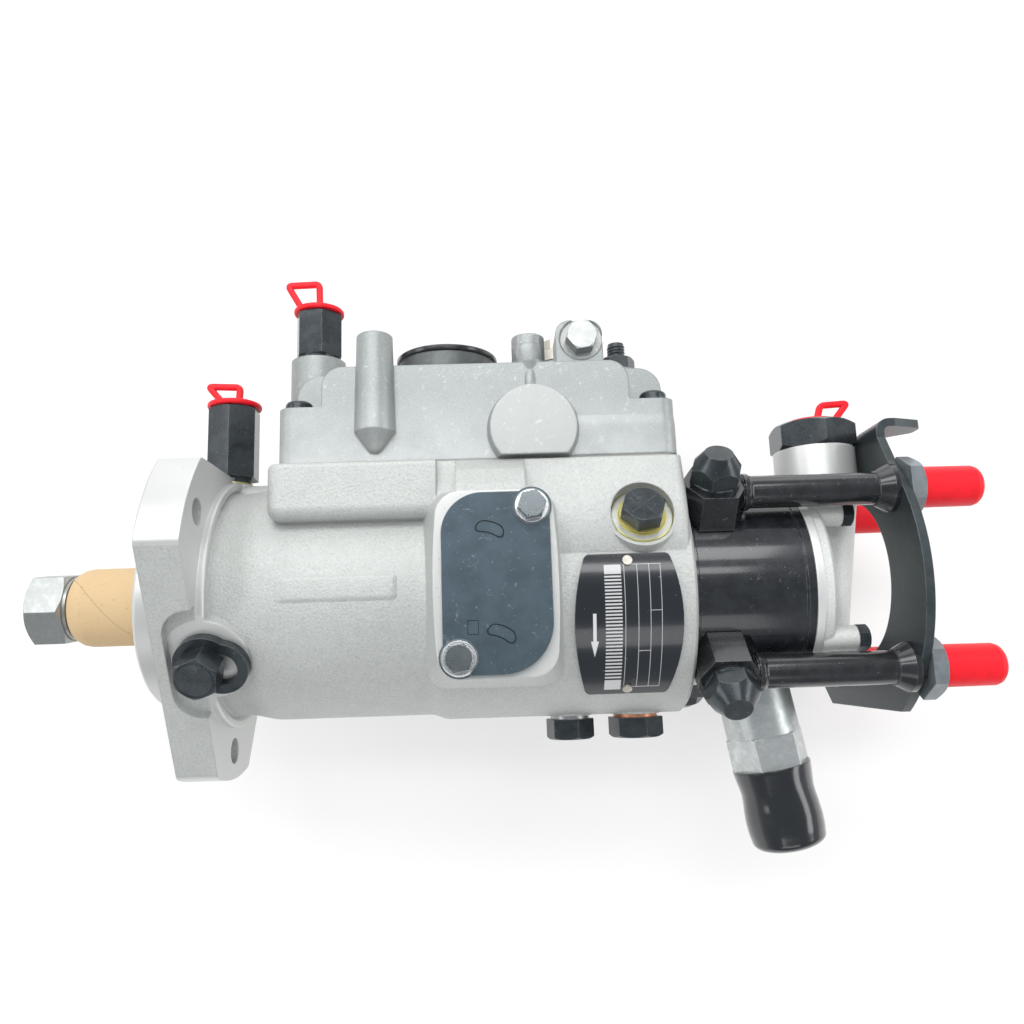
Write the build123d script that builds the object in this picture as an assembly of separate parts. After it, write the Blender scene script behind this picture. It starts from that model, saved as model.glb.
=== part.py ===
from build123d import *
from math import asin, cos, degrees, pi, radians, sin, sqrt
import os

# Rotary distributor fuel injection pump for a four-cylinder diesel engine.
# Millimetres. X runs along the drive shaft, towards the fuel outlets. Z points up, to the control cover.
# The origin is the centre of the flange's mounting face, on the shaft axis.

# ---------------------------------------------------------------- driving sizes: mounting flange
FLANGE_THICK = 14.0
FLANGE_CORNER_R = 62.3  # turned corners of the three-sided flange
FLANGE_CORNER_ROUND = 3.5
FLANGE_SIDE = 45.0              # shaft axis to each straight side
FLANGE_HOLE_CIRCLE_R = 52.5
FLANGE_HOLE_R = 4.5
FLANGE_HOLE_FIRST_ANGLE = 30.0
FLANGE_HOLES = 3
PILOT_R = 36.0
PILOT_LEN = 10.0
PILOT_CHAMFER = 1.0
LIP_R = 44.5                    # standing ring behind the flange
LIP_INNER_R = 42.2
LIP_LEN = 2.5

# ---------------------------------------------------------------- housing
NECK_R = 40.2
NECK_START = 15.5
NECK_END = 19.5
FRONT_BARREL_START = 33.0
FRONT_BARREL_R = 42.2
FRONT_BARREL_END = 84.0
REAR_BARREL_START = 92.0
REAR_BARREL_R = 44.0
HOUSING_END = 174.0
GASKET_PLANE = 42.5
GASKET_THICK = 1.0
BAND_START = 34.6
BAND_END = 90.5
BAND_HALF_W = 42.3
BAND_BOTTOM = 23.5
BAND_ROUND = 4.0
BAND_TOP_ROUND = 1.8
SHOULDER_END = 173.0
WALL_AT_GASKET = 38.0           # half width of the rear shoulder at the gasket plane
SHOULDER_ROUND = 3.0
PAD_FACE = 52.0                 # inspection pad, shaft axis to machined face
PAD_START = 91.3
PAD_END = 127.2
PAD_HALF_H = 29.3
PAD_BULGE = 1.7                 # how far the pad's sides bow outwards
PAD_ROUND = 8.0
PAD_FOOT = 34.0                 # shaft axis to the foot of the pad's sloping sides
PAD_DRAFT = 5.5
RIB_START = 97.0
RIB_END = 119.6
RIB_FACE = 49.0
RIDGE_R = 9.2                   # ridge on top of the neck
RIDGE_TOP = 43.8
GOVERNOR_CHAMBER_R = 36.0
GOVERNOR_CHAMBER_START = 38.0
CAM_CHAMBER_START = 122.0
SPIGOT_START = 148.0
SPIGOT_BORE_R = 30.0
WINDOW_START = 42.0
WINDOW_END = 166.0
WINDOW_HALF_W = 22.0
RUN_FIT = 0.05                  # radial clearance of a running fit
SCREW_FIT = 0.1                 # radial clearance round a screw shank

# ---------------------------------------------------------------- drive line
SHAFT_R = 12.0
SHAFT_INNER_R = 10.0
SHAFT_TAPER_R = 9.0
SHAFT_TAPER_END = -16.0
SHAFT_THREAD_R = 8.0
NUT_FLATS = 24.0
NUT_LEN = 13.0
NUT_TURN = -8.7
NUT_END = -57.9
LOCK_WASHER_LEN = 1.2
LOCK_WASHER_R = 11.5
TUBE_R = 14.2
TUBE_WALL = 1.9
BUSH_R = 15.0
BUSH_START = 7.5
SEAL_R = 18.0
SEAL_LEN = 7.0
CAGE_START = 42.0
CAGE_END = 66.0
CAGE_R = 33.5
CAGE_DISC = 4.5
CAGE_BORE_R = 17.0
POCKET_W = 16.8
WEIGHTS = 4
WEIGHT_W = 16.0
WEIGHT_PIVOT_X = 50.0
WEIGHT_PIVOT_R = 23.0
WEIGHT_PIN_R = 2.0
WEIGHT_PIN_LEN = 24.0
SLEEVE_START = 51.7
SLEEVE_END = 88.0
SLEEVE_R = 13.0
SLEEVE_NOSE_R = 16.0
SLEEVE_FLANGE_R = 17.0
TONGUE_START = 104.0
TONGUE_END = 114.0
TONGUE_W = 8.0
TONGUE_H = 17.0

# ---------------------------------------------------------------- pumping section
CAM_X = 134.3
CAM_WIDTH = 20.0
CAM_BASE_R = 20.5
CAM_LOBE_R = 19.0
CAM_LOBE_ROUND = 12.0
LOBES = 4
ROLLER_R = 3.5
ROLLER_LEN = 12.0
ROLLER_GAP = 0.15               # roller to the crest of a lobe
PLUNGER_R = 3.5
PLUNGER_INNER = 2.2
SHOE_INNER = 8.5
SHOE_OUTER = 15.6
SHOE_W = 11.0
SHOE_STROKE = 1.3
ROTOR_HEAD_R = 16.2
ROTOR_HEAD_START = 122.5
ROTOR_HEAD_END = 146.5
ROTOR_R = 10.0
ROTOR_HUB_R = 13.0
ROTOR_HUB_START = 106.0
CAM_SCREW_R = 2.5
CAM_BALL_R = 3.0
PISTON_Z = -36.5
PISTON_R = 4.4
PISTON_HALF_LEN = 10.0
ADVANCE_BORE_NEAR = -14.0
ADVANCE_BORE_FAR = 28.0
ADVANCE_PLUG_R = 6.5
ADVANCE_WALL_R = 7.4
ADVANCE_PLUG_LEN = 7.5

# ---------------------------------------------------------------- hydraulic head and end plate
HEAD_R = 35.0
HEAD_END = 215.7
HEAD_GROOVE = 0.6
OUTLET_X = 184.5
OUTLET_FIRST_ANGLE = 45.0
OUTLETS = 4
SPOT_R = HEAD_R - 1.0           # flats milled on the head under the outlet bodies
BODY_FLATS = 20.0
BODY_TOP = SPOT_R + 13.5
PIPE_OFFSET = SPOT_R + 8.8  # shaft axis to the pipe axis
PIPE_R = 5.6
PIPE_END = 272.0
COLLAR_START = 240.0
BRACKET_FACE = 246.0
BRACKET_THICK = 3.0
COLLAR_R = 8.4
OUTLET_NUT_LEN = 5.0
OUTLET_NUT_FLATS = 19.0
CAP_R = 7.0
CAP_WALL = 1.0
CAP_END = 276.2
BANJO_BOLT_FLATS = 15.5
BANJO_TIP = BODY_TOP + 11.5
BAND_PLATE_R = HEAD_R + 0.5
BAND_PLATE_END = HEAD_END + 2.9
PLATE_RIM_R = HEAD_R - 0.3
PLATE_RIM_END = HEAD_END + 6.1
PLATE_FACE = HEAD_END + 7.8
PLATE_HUB_R = 22.0
PLATE_HUB_END = HEAD_END + 12.3
PLATE_BOLT_CIRCLE_R = HEAD_R - 4.1
PLATE_BOLT_FIRST_ANGLE = 40.7
PLATE_BOLT_BOSS_R = 4.4
PLATE_BOLT_BOSS_END = HEAD_END + 15.5
PLATE_BOLTS = 4
INLET_X = HEAD_END + 16.3
INLET_BOSS_TOP = 50.8
INLET_BOSS_R = 14.85
INLET_BOSS_LOW = 38.0           # where the round boss starts to taper down the plate
PASSAGE_R = 6.6
PASSAGE_LOW = -17.0
ADAPTER_FLATS = 28.0
ADAPTER_TOP = 61.0
LINER_R = 16.0
LINER_START = HEAD_END + 0.5
LINER_END = HEAD_END + 8.7
LINER_OFFSET = 1.3              # eccentricity of the transfer pump
TRANSFER_ROTOR_R = 12.5
VANE_T = 2.0

# ---------------------------------------------------------------- stop solenoid
SOLENOID_X = 200.9
SOLENOID_SEAT = HEAD_R - 2.0  # below the shaft axis
SOLENOID_TILT = 9.9             # leans towards the outlets
SOLENOID_R = 13.0
SOLENOID_CAN_LEN = 20.2
SOLENOID_HEX_LEN = 11.2
SOLENOID_HEX_FLATS = 24.0
SOLENOID_CAP_LEN = 28.5
SOLENOID_CAP_R = 13.9
SOLENOID_PIN_R = 3.0

# ---------------------------------------------------------------- control cover
COVER_START = 36.2
COVER_END = 172.6
COVER_HALF_W = 35.0
LEDGE_TOP = 63.4
BLOCK_START = 51.3
BLOCK_END = 157.0
BLOCK_TOP = 77.5
BLOCK_ROUND = 7.0
SPINE_START = 39.6
SPINE_END = 171.0
SPINE_HALF_W = 20.0
SPINE_TOP = 79.5
SPINE_ROUND = 8.5
COVER_WALL = 6.0
SPOUT_X = 69.6                  # blind vertical boss with a conical foot
SPOUT_R = 7.0
SPOUT_TOP_R = 6.2
SPOUT_TOP = 88.2
SPOUT_FOOT = 53.7
SPOUT_TIP = 46.3
DISC_X = 123.4  # round machined pad on the side
DISC_Z = 53.4
DISC_R = 14.7
DISC_FOOT_R = 16.2
DISC_FACE = 39.5
PIP_X = 123.0
PIP_Y = -25.5
PIP_R = 5.9
PIP_TOP = 89.8
PIP_FOOT = 67.0                 # pointed end of the rib under the pip
COVER_PLUG_X = 92.6
COVER_PLUG_R = 18.6
COVER_PLUG_TOP = 89.0
COVER_RING_R = 19.4
COVER_RING_TOP = 91.2
UNION_X = 43.0
UNION_BOSS_R = 10.3
UNION_BOSS_TOP = 91.5
UNION_FLATS = 16.0
UNION_HEX_BOTTOM = 93.4
UNION_HEX_TOP = 111.1
LUG_START = 132.6
LUG_END = 149.2
LUG_NEAR = -31.0
LUG_FAR = -17.0
LUG_TOP = 94.0
LUG_BOLT_X = 141.7
LUG_BOLT_Z = 87.0
LUG_BOLT_FLATS = 10.0
THROTTLE_X = 137.0
THROTTLE_Y = 12.0
THROTTLE_R = 4.0
THROTTLE_BOSS_R = 8.0
THROTTLE_BOSS_TOP = 92.6
THROTTLE_NUT_FLATS = 13.0
STOP_X = 160.0
STOP_Y = 10.0
STOP_R = 3.2
STOP_TOP = 100.0
STOP_NUT_FLATS = 12.5
STOP_BOSS_TOP = 88.0
COVER_SCREW_R = 3.0
COVER_SCREWS = ((42.0, -27.0), (166.2, -28.0), (42.0, 27.0), (166.2, 28.0))

# ---------------------------------------------------------------- side fittings
INSPECTION_START = 92.5
INSPECTION_END = 126.6
INSPECTION_HALF_H = 28.2
INSPECTION_THICK = 2.5
INSPECTION_BOLTS = ((121.0, 23.2), (97.5, -22.8))
INSPECTION_LUG_R = 6.3
INSPECTION_FLANGE_R = 5.9
INSPECTION_BOLT_FLATS = 8.0
PLATE_START = 134.0
NAME_PLATE_END = 168.9
NAME_PLATE_THICK = 0.9
NAME_PLATE_LOW = -36.0
NAME_PLATE_HIGH = 8.8
LOCATING_X = 157.5
LOCATING_ANGLE = 153.0
LOCATING_SEAT = 46.5
LOCATING_TIP = 24.0
LOCATING_FLATS = 13.0
LOCK_X = 15.2
LOCK_ANGLE = 210.0
LOCK_SEAT = 41.5
LOCK_SPACER_THICK = 3.5
LOCK_FLATS = 13.0
LOCK_HEAD_LEN = 9.0
TIMING_X = 11.0
TIMING_SEAT = 43.5
TIMING_HEX_BOTTOM = 46.5
TIMING_HEX_TOP = 74.0
TIMING_FLATS = 17.0
BOTTOM_PLUGS = ((CAM_X, 15.0, 6.9), (158.0, 17.0, 7.8))   # place on X, across flats, washer radius
PLUG_HEX_LEN = 7.0
PLUG_WASHER_LEN = 1.2
COVER_CORNER = 5.0
THROTTLE_LINK_REACH = 35.0
BRIDGE_HALF_W = 26.7
BRIDGE_LOW = 39.2
GOVERNOR_SPRING_LEN = 25.2
LEVER_Z = 52.0                  # inner throttle lever
BOTTOM_FLAT = REAR_BARREL_R  # ---------------------------------------------------------------- governor linkage
ARM_PIVOT_X = 96.0
ARM_PIVOT_Z = 30.0
ARM_PIN_R = 2.0
ARM_TIP_R = 3.0
ARM_INNER = 13.4
ARM_OUTER = 17.0
LINK_Z = 47.0
LINK_Y = -10.0
LINK_R = 1.5
LINK_PIN_R = 1.6
LINK_EYE_R = 5.0
LINK_HOLE_R = 3.3
VALVE_X = 158.0
VALVE_R = 3.5
VALVE_BOTTOM = 14.0
VALVE_LEVER_Z = 41.0
SPRING_R = 3.6
SPRING_WIRE_R = 0.7

GASKET_TOP = GASKET_PLANE + GASKET_THICK
PARTS = {}


# ---------------------------------------------------------------- shape helpers
def rod(radius, start, end):
    """Cylinder between two points."""
    axis = Vector(*end) - Vector(*start)
    seat = Plane(origin=start, z_dir=axis)
    return seat * Cylinder(radius, axis.length, align=(Align.CENTER, Align.CENTER, Align.MIN))


def rod_x(radius, x0, x1, y=0.0, z=0.0):
    """Cylinder along the shaft direction."""
    return rod(radius, (x0, y, z), (x1, y, z))


def tube_x(outer, inner, x0, x1, y=0.0, z=0.0):
    """Ring along the shaft direction."""
    return rod_x(outer, x0, x1, y, z) - rod_x(inner, x0 - 1, x1 + 1, y, z)


def turned(points, curved=()):
    """Solid turned about the shaft axis from (x, radius) points; the steps numbered in curved are S-curves."""
    edges = []
    for i, (start, end) in enumerate(zip(points, points[1:] + points[:1])):
        a, b = Vector(start[0], 0, start[1]), Vector(end[0], 0, end[1])
        edges.append(Spline(a, b, tangents=((1, 0, 0), (1, 0, 0))) if i in curved else Line(a, b))
    return revolve(make_face(edges), Axis.X, 360)


def block(x0, x1, y0, y1, z0, z1):
    """Box between three pairs of limits."""
    size = Box(x1 - x0, y1 - y0, z1 - z0)
    return Pos((x0 + x1) / 2, (y0 + y1) / 2, (z0 + z1) / 2) * size


def radial(x, angle, r, tilt=0.0):
    """Plane at radius r on the spoke at the given angle, with its normal pointing outwards."""
    a = radians(angle)
    t = radians(tilt)
    out = Vector(sin(t), cos(a) * cos(t), sin(a) * cos(t))
    return Plane(origin=(x, r * cos(a), r * sin(a)), x_dir=(cos(t), -sin(t) * cos(a), -sin(t) * sin(a)), z_dir=out)


def hexagon(plane, flats, length, turn=0.0):
    """Hexagonal prism standing on a plane."""
    return extrude(plane * RegularPolygon(flats / 2, 6, major_radius=False, rotation=turn), length)


def disc(plane, radius, length):
    """Cylinder standing on a plane."""
    return extrude(plane * Circle(radius), length)


def chamfered_hexagon(plane, flats, length, turn=0.0, both=False):
    """Hexagonal prism whose corners are turned off at 30 degrees, as on a bolt head."""
    corner = flats / sqrt(3)
    cut = (corner - flats / 2) * 0.62
    foot = ((flats / 2, 0), (corner, cut)) if both else ((corner, 0),)
    profile = Polyline((0, 0), *foot, (corner, length - cut), (flats / 2, length), (0, length), close=True)
    turned_limit = revolve(Plane.XZ * make_face(profile), Axis.Z, 360)
    return hexagon(plane, flats, length, turn) & (plane * turned_limit)


def ring_of(count, first_angle, make):
    """Copies of a solid spaced evenly round the shaft axis."""
    return [Rot(first_angle + i * 360 / count, 0, 0) * make for i in range(count)]


def group(solids):
    """Separate solids kept in one node."""
    flat = []
    for item in solids:
        flat.extend(item.solids())
    return Compound(children=flat)


def down(x, y, z):
    """Plane facing down at a point."""
    return Plane(origin=(x, y, z), x_dir=(1, 0, 0), z_dir=(0, 0, -1))


def up(x, y, z):
    """Plane facing up at a point."""
    return Plane(origin=(x, y, z), x_dir=(1, 0, 0), z_dir=(0, 0, 1))


def near(x, y, z):
    """Plane facing the side of the inspection cover."""
    return Plane(origin=(x, y, z), x_dir=(1, 0, 0), z_dir=(0, -1, 0))


# ---------------------------------------------------------------- housing
def flange_outline():
    """Three-sided flange with turned corners, in the plane across the shaft."""
    triangle = RegularPolygon(FLANGE_SIDE, 3, major_radius=False, rotation=FLANGE_HOLE_FIRST_ANGLE)
    outline = Circle(FLANGE_CORNER_R) & triangle
    return Plane.YZ * fillet(outline.vertices(), FLANGE_CORNER_ROUND)


def flange_holes():
    """Clearance holes for the three mounting bolts."""
    hole = rod_x(FLANGE_HOLE_R, -1, FLANGE_THICK + 1, y=FLANGE_HOLE_CIRCLE_R)
    return ring_of(FLANGE_HOLES, FLANGE_HOLE_FIRST_ANGLE, hole)


def lock_pocket():
    """Milled pocket in the flange's side and round pad behind it, for the shaft lock bolt."""
    seat = radial(LOCK_X, LOCK_ANGLE, LOCK_SEAT)
    reach = FLANGE_SIDE
    edge = 3.8
    slot = extrude(seat * Pos(edge - LOCK_X + 13.5, 0) * RectangleRounded(27.0, 39.0, 9.0), reach)
    slot &= block(-1, FLANGE_THICK + LIP_LEN, -90, 0, -90, 20)
    return slot + (disc(seat, 14.5, reach) & block(edge, LOCK_X + 20, -90, 0, -90, 20))


def housing_outside():
    """Casting before any bore is cut."""
    body = extrude(flange_outline(), FLANGE_THICK)
    lip_end = FLANGE_THICK + LIP_LEN
    body += turned((
        (FLANGE_THICK - 1, 0), (FLANGE_THICK - 1, LIP_R), (lip_end - 0.5, LIP_R), (lip_end, LIP_R - 0.5),
        (lip_end, LIP_INNER_R), (NECK_START, LIP_INNER_R - 1.5), (NECK_START + 1, NECK_R), (NECK_END, NECK_R),
        (FRONT_BARREL_START, FRONT_BARREL_R), (FRONT_BARREL_END, FRONT_BARREL_R),
        (REAR_BARREL_START, REAR_BARREL_R), (HOUSING_END - 1, REAR_BARREL_R),
        (HOUSING_END, REAR_BARREL_R - 1), (HOUSING_END, 0)), curved=(7, 9))
    body += turned((
        (-PILOT_LEN, 0), (-PILOT_LEN, PILOT_R - PILOT_CHAMFER), (-PILOT_LEN + PILOT_CHAMFER, PILOT_R),
        (1, PILOT_R), (1, 0)))
    body += gasket_band()
    body += rear_shoulder()
    body += inspection_pad()
    body += rod_x(RIDGE_R, FLANGE_THICK, BAND_START + 3, 0, RIDGE_TOP - RIDGE_R)
    body += rod(ADVANCE_WALL_R, (CAM_X, 0, PISTON_Z), (CAM_X, ADVANCE_BORE_FAR, PISTON_Z))
    for x, _, radius in BOTTOM_PLUGS:
        body += disc(down(x, 0, -PAD_FOOT), radius + 1.2, BOTTOM_FLAT - PAD_FOOT)
    body += disc(radial(LOCATING_X, LOCATING_ANGLE, LOCATING_TIP + 14), 11.5, LOCATING_SEAT - LOCATING_TIP - 14)
    body += disc(radial(LOCK_X, LOCK_ANGLE, 30), 14.0, LOCK_SEAT - 30)
    body += disc(up(TIMING_X, 0, 34), 9.0, TIMING_SEAT - 34)
    return body


def gasket_band():
    """Raised band along the front of the gasket face, with rounded edges."""
    band = block(BAND_START, BAND_END, -BAND_HALF_W, BAND_HALF_W, BAND_BOTTOM, GASKET_PLANE)
    ends = band.edges().filter_by(Axis.Z).sort_by(Axis.X)[:2]
    band = fillet(ends, BAND_ROUND)
    low = band.edges().group_by(Axis.Z)[0].filter_by(Axis.X)
    band = fillet(low, BAND_ROUND)
    return fillet(band.edges().group_by(Axis.Z)[-1].filter_by(Axis.X), BAND_TOP_ROUND)


def rear_shoulder():
    """Shoulder that carries the gasket face over the pumping section, with a softly curved side."""
    r = REAR_BARREL_R
    low = 9.5
    foot = sqrt(r * r - low * low)
    near_side = ((foot, low), (r - 0.25, 12.5), (r + 0.15, 18), (r - 0.4, 24), (r - 2.5, 32), (WALL_AT_GASKET, GASKET_PLANE))
    sides = [Spline(*[(sign * y, z) for y, z in near_side]) for sign in (-1, 1)]
    section = make_face(sides + [Line((-foot, low), (foot, low)),
                                 Line((-WALL_AT_GASKET, GASKET_PLANE), (WALL_AT_GASKET, GASKET_PLANE))])
    body = Pos(BAND_END - 1, 0, 0) * extrude(Plane.YZ * section, SHOULDER_END - BAND_END + 1)
    ends = body.faces().sort_by(Axis.X)[-1].edges()
    return fillet([e for e in ends if e.geom_type == GeomType.BSPLINE], SHOULDER_ROUND)


def pad_outline(grow, grow_end, height, turn):
    """Outline of the inspection pad with bowed sides, in the plane of its face."""
    x0, x1 = PAD_START - grow, PAD_END + grow_end
    with BuildSketch() as sketch:
        with BuildLine():
            ThreePointArc((x0, -height), (x0 - PAD_BULGE, 0), (x0, height))
            Line((x0, height), (x1, height))
            ThreePointArc((x1, height), (x1 + PAD_BULGE, 0), (x1, -height))
            Line((x1, -height), (x0, -height))
        make_face()
        fillet(sketch.vertices(), turn)
    return sketch.sketch


def inspection_pad():
    """Pad with sloping sides under the inspection cover, and a rib that runs up to the gasket face."""
    face = near(0, -PAD_FACE, 0) * pad_outline(0, 0, PAD_HALF_H, PAD_ROUND)
    foot = near(0, -PAD_FOOT, 0) * pad_outline(PAD_DRAFT, PAD_DRAFT - 2.5, PAD_HALF_H + 3, PAD_ROUND)
    pad = loft([face, foot]) + extrude(near(0, -PAD_FOOT + 9, 0) * pad_outline(
        PAD_DRAFT, PAD_DRAFT - 2.5, PAD_HALF_H + 3, PAD_ROUND), 9)
    side = Polyline((-25, 18), (-PAD_FACE + 1, 18), (-RIB_FACE, 32), (-RIB_FACE + 5, 38),
                    (-WALL_AT_GASKET, GASKET_PLANE), (-25, GASKET_PLANE), close=True)
    rib = Pos(RIB_START, 0, 0) * extrude(Plane.YZ * make_face(side), RIB_END - RIB_START)
    return pad + rib


def housing_bores():
    """Everything that is bored, milled or drilled into the casting."""
    cut = rod_x(SEAL_R, -PILOT_LEN - 1, BUSH_START)
    cut += rod_x(BUSH_R, BUSH_START - 1, GOVERNOR_CHAMBER_START + 1)
    cut += rod_x(GOVERNOR_CHAMBER_R, GOVERNOR_CHAMBER_START, CAM_CHAMBER_START)
    cut += rod_x(SPIGOT_BORE_R, CAM_CHAMBER_START - 1, HOUSING_END + 1)
    cut += block(BAND_START, HOUSING_END + 1, -60, 60, GASKET_PLANE, 60)
    cut += block(WINDOW_START, WINDOW_END, -WINDOW_HALF_W, WINDOW_HALF_W, 20, GASKET_PLANE + 1)
    cut += block(ARM_PIVOT_X - 6, ARM_PIVOT_X + 8, -27, 27, 39, GASKET_PLANE + 1)
    cut += block(RIB_START + 1, RIB_END - 1, -PAD_FACE - 1, -30, -16, 16)
    cut += rod(PISTON_R + RUN_FIT, (CAM_X, ADVANCE_BORE_NEAR, PISTON_Z), (CAM_X, ADVANCE_BORE_FAR + 1, PISTON_Z))
    cut += rod(ADVANCE_PLUG_R, (CAM_X, ADVANCE_BORE_FAR - ADVANCE_PLUG_LEN - 0.5, PISTON_Z), (CAM_X, ADVANCE_BORE_FAR + 1, PISTON_Z))
    cut += block(CAM_X - 3.2, CAM_X + 3.2, -7, 7, PISTON_Z, -28)
    cut += disc(Plane(origin=(CAM_X, ADVANCE_BORE_FAR, PISTON_Z), z_dir=(0, 1, 0)), 9.0, 10)
    for x, _, _ in BOTTOM_PLUGS:
        cut += disc(down(x, 0, -38), 5.0, 10)
    for x, y in COVER_SCREWS:
        cut += disc(down(x, y, GASKET_PLANE + 1), COVER_SCREW_R, 15)
    for x, z in INSPECTION_BOLTS:
        cut += rod(2.5, (x, -PAD_FACE - 1, z), (x, -PAD_FACE + 11, z))
    cut += disc(radial(LOCATING_X, LOCATING_ANGLE, LOCATING_SEAT), 10.2, 8)
    cut += disc(radial(LOCATING_X, LOCATING_ANGLE, LOCATING_TIP), 4.0, 30)
    cut += disc(radial(LOCK_X, LOCK_ANGLE, SHAFT_R + 1), 4.0, 40)
    cut += disc(up(TIMING_X, 0, TIMING_SEAT), 11.0, 10)
    cut += disc(up(TIMING_X, 0, TIMING_SEAT - 12), 5.0, 20)
    return cut


def pump_housing():
    """Cast housing with its flange, pilot and chambers."""
    body = housing_outside() - housing_bores() - lock_pocket()
    for hole in flange_holes():
        body -= hole
    return body


# ---------------------------------------------------------------- drive line
def drive_shaft():
    """Drive shaft, from the threaded taper to the tongue that turns the rotor."""
    taper_start = NUT_END + NUT_LEN + LOCK_WASHER_LEN + 1
    shaft = turned((
        (NUT_END - 1, 0), (NUT_END - 1, SHAFT_THREAD_R - 1), (NUT_END, SHAFT_THREAD_R),
        (taper_start, SHAFT_THREAD_R), (taper_start, SHAFT_TAPER_R), (SHAFT_TAPER_END, SHAFT_R),
        (CAGE_START, SHAFT_R), (CAGE_START, SHAFT_INNER_R), (TONGUE_START, SHAFT_INNER_R), (TONGUE_START, 0)))
    tongue = block(TONGUE_START - 1, TONGUE_END, -TONGUE_W / 2, TONGUE_W / 2, -TONGUE_H / 2, TONGUE_H / 2)
    return shaft + tongue


def drive_nut():
    """Hexagon nut on the end of the shaft."""
    seat = Plane(origin=(NUT_END + NUT_LEN, 0, 0), x_dir=(0, 1, 0), z_dir=(-1, 0, 0))
    nut = chamfered_hexagon(seat, NUT_FLATS, NUT_LEN, NUT_TURN, both=True)
    return nut - rod_x(SHAFT_THREAD_R, NUT_END - 2, NUT_END + NUT_LEN + 1)


def lock_washer():
    """Spring washer between the nut and the transport tube."""
    start = NUT_END + NUT_LEN
    return tube_x(LOCK_WASHER_R, SHAFT_THREAD_R, start, start + LOCK_WASHER_LEN)


def transport_sleeve():
    """Cardboard tube that guards the shaft taper in transit, crimped at its front end."""
    start = NUT_END + NUT_LEN + LOCK_WASHER_LEN
    inner = TUBE_R - TUBE_WALL
    outside = turned((
        (start, 0), (start, TUBE_R - 3.6), (start + 1.2, TUBE_R - 1.8), (start + 3.5, TUBE_R - 0.5),
        (start + 6, TUBE_R), (-PILOT_LEN, TUBE_R), (-PILOT_LEN, 0)))
    inside = turned((
        (start - 1, 0), (start - 1, SHAFT_THREAD_R + 1), (start + 2, SHAFT_THREAD_R + 2), (start + 6, inner),
        (-PILOT_LEN + 1, inner), (-PILOT_LEN + 1, 0)))
    return outside - inside


def shaft_bush():
    """Plain bearing of the drive shaft."""
    return tube_x(BUSH_R, SHAFT_R + RUN_FIT, BUSH_START, GOVERNOR_CHAMBER_START)


def shaft_seals():
    """Two lip seals side by side in the pilot."""
    inner = SHAFT_R + RUN_FIT
    front = tube_x(SEAL_R, inner, BUSH_START - 2 * SEAL_LEN - 1, BUSH_START - SEAL_LEN - 1)
    back = tube_x(SEAL_R, inner, BUSH_START - SEAL_LEN, BUSH_START)
    return group([front, back])


def weight_cage():
    """Retainer that carries the four flyweights round the shaft."""
    cage = tube_x(CAGE_R, SHAFT_INNER_R, CAGE_START, CAGE_END)
    cage -= rod_x(CAGE_BORE_R, WEIGHT_PIVOT_X + 0.5, CAGE_END + 1)
    half = POCKET_W / 2
    pocket = block(CAGE_START + CAGE_DISC, CAGE_END + 1, 13.5, CAGE_R + 1, -half, half)
    for cut in ring_of(WEIGHTS, 0, pocket):
        cage -= cut
    half_pin = WEIGHT_PIN_LEN / 2 + 0.3
    pin = rod(WEIGHT_PIN_R + RUN_FIT, (WEIGHT_PIVOT_X, WEIGHT_PIVOT_R, -half_pin),
              (WEIGHT_PIVOT_X, WEIGHT_PIVOT_R, half_pin))
    for cut in ring_of(WEIGHTS, 0, pin):
        cage -= cut
    return cage


def flyweight():
    """One governor weight with its trunnions and toe, lying on the +Y side."""
    side = Polyline(
        (WEIGHT_PIVOT_X, WEIGHT_PIVOT_R + 3.5), (WEIGHT_PIVOT_X + 3, WEIGHT_PIVOT_R + 4),
        (WEIGHT_PIVOT_X + 14, WEIGHT_PIVOT_R + 4), (WEIGHT_PIVOT_X + 14, WEIGHT_PIVOT_R - 4.5),
        (WEIGHT_PIVOT_X + 4, WEIGHT_PIVOT_R - 4.5), (SLEEVE_START - 0.2, WEIGHT_PIVOT_R - 6),
        (SLEEVE_START - 0.2, WEIGHT_PIVOT_R - 8.5), (WEIGHT_PIVOT_X - 2.2, WEIGHT_PIVOT_R - 8.5),
        (WEIGHT_PIVOT_X - 3, WEIGHT_PIVOT_R), close=True)
    body = extrude(make_face(side), WEIGHT_W / 2, both=True)
    half_pin = WEIGHT_PIN_LEN / 2
    pin = rod(WEIGHT_PIN_R, (WEIGHT_PIVOT_X, WEIGHT_PIVOT_R, -half_pin), (WEIGHT_PIVOT_X, WEIGHT_PIVOT_R, half_pin))
    return body + pin


def thrust_sleeve():
    """Sleeve that the flyweights push along the shaft."""
    bore = SHAFT_INNER_R + RUN_FIT
    return turned((
        (SLEEVE_START, bore), (SLEEVE_START, SLEEVE_NOSE_R), (SLEEVE_START + 3, SLEEVE_NOSE_R),
        (SLEEVE_START + 3, SLEEVE_R), (SLEEVE_END - 3, SLEEVE_R), (SLEEVE_END - 3, SLEEVE_FLANGE_R),
        (SLEEVE_END, SLEEVE_FLANGE_R), (SLEEVE_END, bore)))


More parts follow.
